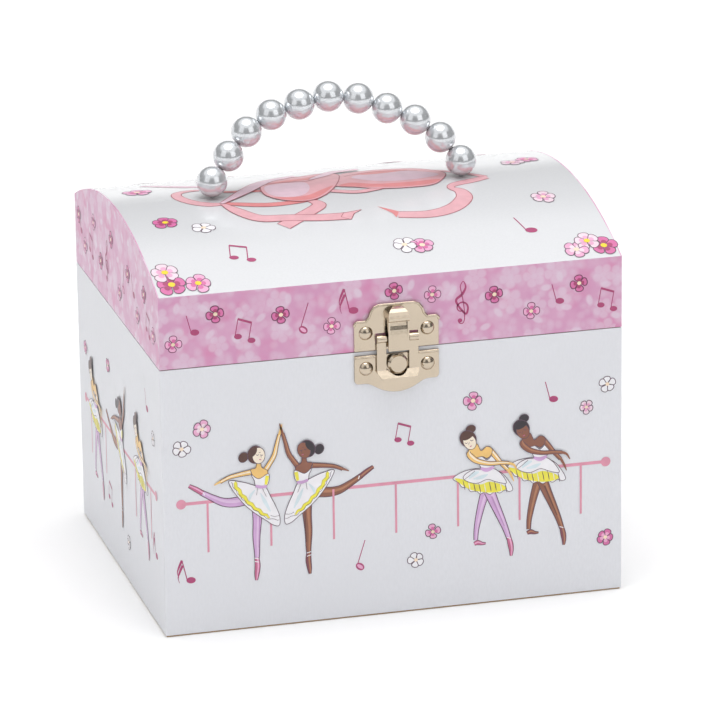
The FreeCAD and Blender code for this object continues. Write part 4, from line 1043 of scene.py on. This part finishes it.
class Sculpture:
    """A mesh made of closed lofted parts, each in its own material. Places are millimetres from an origin."""

    def __init__(self, name, origin):
        self.name = name
        self.origin = Vector(origin)
        self.mesh = bmesh.new()
        self.materials = []

    def skin_over(self, rings, material):
        """Joins rings of points into one closed part."""
        if material not in self.materials:
            self.materials.append(material)
        index = self.materials.index(material)
        rows = [[self.mesh.verts.new(self.origin + Vector(p) * mm) for p in ring] for ring in rings]
        count = len(rows[0])
        faces = [self.mesh.faces.new(rows[0][::-1]), self.mesh.faces.new(rows[-1])]
        for low_row, high_row in zip(rows, rows[1:]):
            for k in range(count):
                after = (k + 1) % count
                faces.append(self.mesh.faces.new((low_row[k], low_row[after], high_row[after], high_row[k])))
        for face in faces:
            face.material_index = index
            face.smooth = True

    def tube(self, points, material, flat=1):
        """A round-ended tube along (x, y, z, radius) points, thinned front to back by flat."""
        path = curve_through(points, steps=5)
        rings = []
        for index, (x, y, z, radius) in enumerate(path):
            before, after = path[max(index - 1, 0)], path[min(index + 1, len(path) - 1)]
            along = (Vector(after[:3]) - Vector(before[:3])).normalized()
            centre = Vector((x, y, z))
            stops = [(0, 1)]
            if index == 0:
                stops = [(-s, c) for s, c in ROUND_END] + stops
            if index == len(path) - 1:
                stops += ROUND_END[::-1]
            rings += [self.ring(centre + along * radius * s, along, radius * c, flat) for s, c in stops]
        self.skin_over(rings, material)

    def ring(self, centre, along, radius, flat):
        across = along.cross(Vector((0, 1, 0))).normalized()
        second = along.cross(across) * flat
        turns = [2 * math.pi * k / FIGURE_ROUND for k in range(FIGURE_ROUND)]
        return [centre + across * radius * math.cos(a) + second * radius * math.sin(a) for a in turns]

    def egg(self, centre, radii, material):
        rings = []
        for step in range(1, 12):
            rise = math.pi * (step / 12 - 0.5)
            rings.append([(centre[0] + radii[0] * math.cos(rise) * math.cos(2 * math.pi * k / FIGURE_ROUND),
                           centre[1] + radii[1] * math.cos(rise) * math.sin(2 * math.pi * k / FIGURE_ROUND),
                           centre[2] + radii[2] * math.sin(rise)) for k in range(FIGURE_ROUND)])
        self.skin_over(rings, material)

    def finish(self, looks_by_name, body, node):
        bmesh.ops.recalc_face_normals(self.mesh, faces=self.mesh.faces[:])
        data = bpy.data.meshes.new(self.name)
        self.mesh.to_mesh(data)
        self.mesh.free()
        for name in self.materials:
            data.materials.append(looks_by_name[name])
        piece = show(self.name, data, body)
        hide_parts(node)
        return piece


# How far along and how wide each ring of a round end is, from the tip inward
ROUND_END = [(math.cos(math.radians(a)), math.sin(math.radians(a))) for a in (8, 30, 55)]


def dancer_figure():
    """Doll on one toe with the other foot at her knee and both arms rounded over her head."""
    low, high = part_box("ballerina_figure")
    doll = Sculpture("dancer_doll", ((low[0] + high[0]) / 2, DANCER_DEPTH * mm, low[2]))
    leg = [(0, 0.2, 5.2, 0.95), (0, 0.3, 9, 1.3), (0, 0.2, 12, 1.45), (0, 0, 15, 1.35), (0, 0, 18, 1.8)]
    doll.tube(leg, "tights")
    doll.tube([(0, 0, 0.7, 0.5), (0, -0.1, 2.2, 0.9), (0, 0.05, 4.2, 1.15), (0, 0.2, 5.6, 1.1)], "shoes")
    doll.tube([(0.5, 0, 18.2, 1.75), (2.2, -0.4, 15.6, 1.55), (3.6, -0.8, 13, 1.25)], "tights")
    doll.tube([(3.6, -0.8, 13, 1.25), (2.6, -0.5, 11, 1.15), (1.6, -0.3, 9.3, 0.85)], "tights")
    doll.tube([(1.7, -0.35, 9.6, 0.95), (1.2, -0.4, 8, 0.75), (1, -0.45, 6.9, 0.42)], "shoes")
    bodice = [(0, 0, 17.8, 1.9), (0, 0, 19.6, 2.15), (0, 0, 22, 1.45), (0, -0.15, 24.2, 1.85),
            (0, -0.2, 26, 2.05)]
    doll.tube(bodice, "bodice", 0.8)
    doll.tube([(0, -0.1, 25.2, 1.8), (0, -0.05, 26.8, 1.7), (0, 0, 27.6, 1)], "skin", 0.72)
    doll.tube([(-2.1, 0, 27.1, 0.75), (0, 0, 27.4, 1), (2.1, 0, 27.1, 0.75)], "skin")
    doll.tube([(0, 0.05, 27.2, 0.95), (0, 0, 28.8, 0.72), (0, -0.05, 30.4, 0.75)], "skin")
    doll.egg((0, -0.1, 32.6), (2, 2.2, 2.6), "skin")
    doll.egg((0, -0.7, 31.1), (1.2, 1.2, 1.1), "skin")
    doll.egg((0, -2.22, 32.3), (0.24, 0.28, 0.36), "skin")
    doll.egg((0, 0.5, 33.1), (2.16, 2.2, 2.5), "hair")
    doll.egg((0, 1.7, 35.4), (1.3, 1.2, 1.15), "hair")
    doll.tube([(-0.35, -2.05, 31.3, 0.13), (0, -2.12, 31.24, 0.17), (0.35, -2.05, 31.3, 0.13)], "lips")
    eyelid = [(0.45, -2.2, 32.75, 0.09), (0.8, -2.1, 32.6, 0.11), (1.15, -1.9, 32.75, 0.09)]
    arm = [(2.2, 0, 27.2, 0.75), (4, -0.3, 29.4, 0.75), (5.2, -0.6, 33, 0.68), (4.2, -0.8, 37.2, 0.58),
           (2.3, -0.8, 40.2, 0.48), (1, -0.7, 41.6, 0.38)]
    strap = [(0.9, -0.55, 27.3, 0.2), (1.3, -1.35, 26.2, 0.2), (1.2, -1.5, 25.2, 0.2)]
    for side in (-1, 1):
        for points, material in ((eyelid, "hair"), (arm, "skin"), (strap, "bodice")):
            doll.tube([(side * x, y, z, r) for x, y, z, r in points], material)
    doll.finish(dancer_looks, "dancer", "ballerina_figure")


def tutu_layer(name, outer, top, drop, phase):
    """One layer of net: pleats that are flat at the waist and deepest at the rim."""
    count = TUTU_PLEATS * 8
    points, faces = [], []
    for step in range(TUTU_STEPS + 1):
        t = step / TUTU_STEPS
        radius = TUTU_WAIST + (outer - TUTU_WAIST) * t
        for k in range(count):
            a = 2 * math.pi * k / count
            wave = math.sin(TUTU_PLEATS * a + phase) + 0.35 * math.sin((TUTU_PLEATS - 5) * a + 2 * phase)
            height = top - drop * t ** 1.4 + TUTU_SWING * t ** 1.2 * wave
            reach = radius * (1 + 0.018 * t * math.cos(7 * a + phase))
            spot = (reach * math.cos(a), reach * math.sin(a) + DANCER_DEPTH, height)
            points.append(tuple(value * mm for value in spot))
    for row in range(0, TUTU_STEPS * count, count):
        for k in range(count):
            after = (k + 1) % count
            faces.append((row + k, row + after, row + count + after, row + count + k))
    piece = make_mesh(name, points, faces, looks["tulle"], "dancer", smooth=True)
    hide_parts("ballerina_tutu")


def tutu():
    low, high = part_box("ballerina_tutu")
    outer = (high[0] - low[0]) / 2 / mm
    top = high[2] / mm
    for index, name in enumerate(("tutu_top", "tutu_middle", "tutu_low")):
        tutu_layer(name, outer - 0.3 - 0.3 * index, top - 0.1 - 0.35 * index, 1.1 + 0.35 * index, 1.3 * index)


def ring_cushions():
    """Five soft bars, each flattened where it rests on the shelf and gathered a little at its ends."""
    low, high = ([value / mm for value in corner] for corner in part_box("ring_rolls"))
    full = high[2] - low[2]
    radius = full / 2
    pitch = (high[1] - low[1] - full) / (ROLLS - 1)
    chance = random.Random(11)
    cushions = Sculpture("ring_roll_cushions", (0, 0, 0))
    for bar in range(ROLLS):
        middle = low[1] + radius + pitch * bar
        phase = [chance.uniform(0, 6.28) for _ in range(3)]
        rings = []
        for step in range(1, ROLL_STEPS):
            t = 0.5 - 0.5 * math.cos(math.pi * step / ROLL_STEPS)
            x = low[0] + (high[0] - low[0]) * t
            from_end = min(x - low[0], high[0] - x)
            swell = (1 - max(0, 1 - from_end / ROLL_CROWN) ** 2.6) ** 0.5
            ring = []
            for k in range(ROLL_ROUND):
                a = 2 * math.pi * k / ROLL_ROUND
                gather = 0.035 * math.cos(16 * a + phase[0]) * math.exp(-from_end / 3.5)
                lump = 0.01 * math.sin(0.31 * x + phase[1]) + 0.008 * math.sin(0.83 * x + 2 * a + phase[2])
                reach = radius * swell * (0.972 + gather + lump)
                lift = max(0, radius + reach * math.sin(a) - ROLL_SUNK) * full / (full - ROLL_SUNK)
                ring.append((x, middle + reach * math.cos(a), low[2] + lift))
            rings.append(ring)
        cushions.skin_over(rings, "satin_roll")
    piece = cushions.finish(looks, "base", "ring_rolls")


dancer_figure()
tutu()
ring_cushions()


# ---------------------------------------------------------------- stage

def camera():
    a, e, roll = (math.radians(v) for v in (CAMERA_AZIMUTH, CAMERA_ELEVATION, CAMERA_ROLL))
    backward = Vector((math.sin(a) * math.cos(e), -math.cos(a) * math.cos(e), math.sin(e)))
    level = Vector((math.cos(a), math.sin(a), 0))
    upright = backward.cross(level)
    right_way = level * math.cos(roll) + upright * math.sin(roll)
    up_way = upright * math.cos(roll) - level * math.sin(roll)
    data = bpy.data.cameras.new("camera")
    data.lens = CAMERA_LENS
    data.sensor_width = 36
    data.clip_start = 0.05
    data.clip_end = 50
    thing = show("camera", data, None)
    spot = Vector((0, 0, CAMERA_AIM_HEIGHT)) + backward * CAMERA_DISTANCE
    spot += right_way * CAMERA_AIM_RIGHT + up_way * CAMERA_AIM_UP
    turn = Matrix((right_way, up_way, backward)).transposed()
    thing.matrix_world = Matrix.Translation(spot) @ turn.to_4x4()
    bpy.context.scene.camera = thing


def lamp(name, spot, watts):
    data = bpy.data.lights.new(name, "AREA")
    data.shape = "RECTANGLE"
    data.size = SOFTBOX_SIZE
    data.size_y = SOFTBOX_SIZE
    data.energy = watts
    thing = show(name, data, None)
    thing.location = spot
    thing.rotation_euler = (Vector(SOFTBOX_AIM) - Vector(spot)).to_track_quat("-Z", "Y").to_euler()


def sky_look(world):
    """A pale studio: a bright ceiling, grey walls, and a bright backdrop low down behind the box."""
    world.use_nodes = True
    sky = Nodes(world.node_tree)
    heading = sky.split(sky.add("ShaderNodeTexCoord").outputs["Generated"])
    background = sky.tree.nodes["Background"]

    def step(axis, *ends):
        return sky.ramp(heading[axis], *ends, kind="SMOOTHSTEP")

    ceiling = step(2, CEILING_START, CEILING_FULL, WALL_LIGHT, CEILING_LIGHT)
    overhead = step(2, OVERHEAD_START, OVERHEAD_FULL, 0, OVERHEAD_LIGHT)
    behind = step(1, BEHIND_START, BEHIND_FULL, 0, 1)
    low_down = step(2, BACKDROP_TOP, BACKDROP_TOP - BACKDROP_FADE, 0, BACKDROP_LIGHT)
    above = sky.math("ADD", ceiling, overhead)
    sky.feed(background.inputs["Strength"], sky.math("ADD", above, sky.math("MULTIPLY", behind, low_down)))
    background.inputs["Color"].default_value = (1, 1, 1, 1)


def studio():
    world = bpy.data.worlds.new("studio")
    sky_look(world)
    bpy.context.scene.world = world
    bpy.context.scene.view_settings.view_transform = "Standard"
    look = Look("floor", roughness=0.6)
    look.colour(look.mix(look.noise(3), (0.95, 0.95, 0.95, 1), (0.97, 0.97, 0.97, 1)))
    corners = [(FLOOR_HALF * x, FLOOR_HALF * y, 0) for x, y in ((-1, -1), (1, -1), (1, 1), (-1, 1))]
    floor = make_mesh("floor", corners, [(0, 1, 2, 3)], look.material, None)
    lamp("softbox_left", SOFTBOX_LEFT_SPOT, SOFTBOX_LEFT_WATTS)
    lamp("softbox_right", SOFTBOX_RIGHT_SPOT, SOFTBOX_RIGHT_WATTS)


camera()
studio()
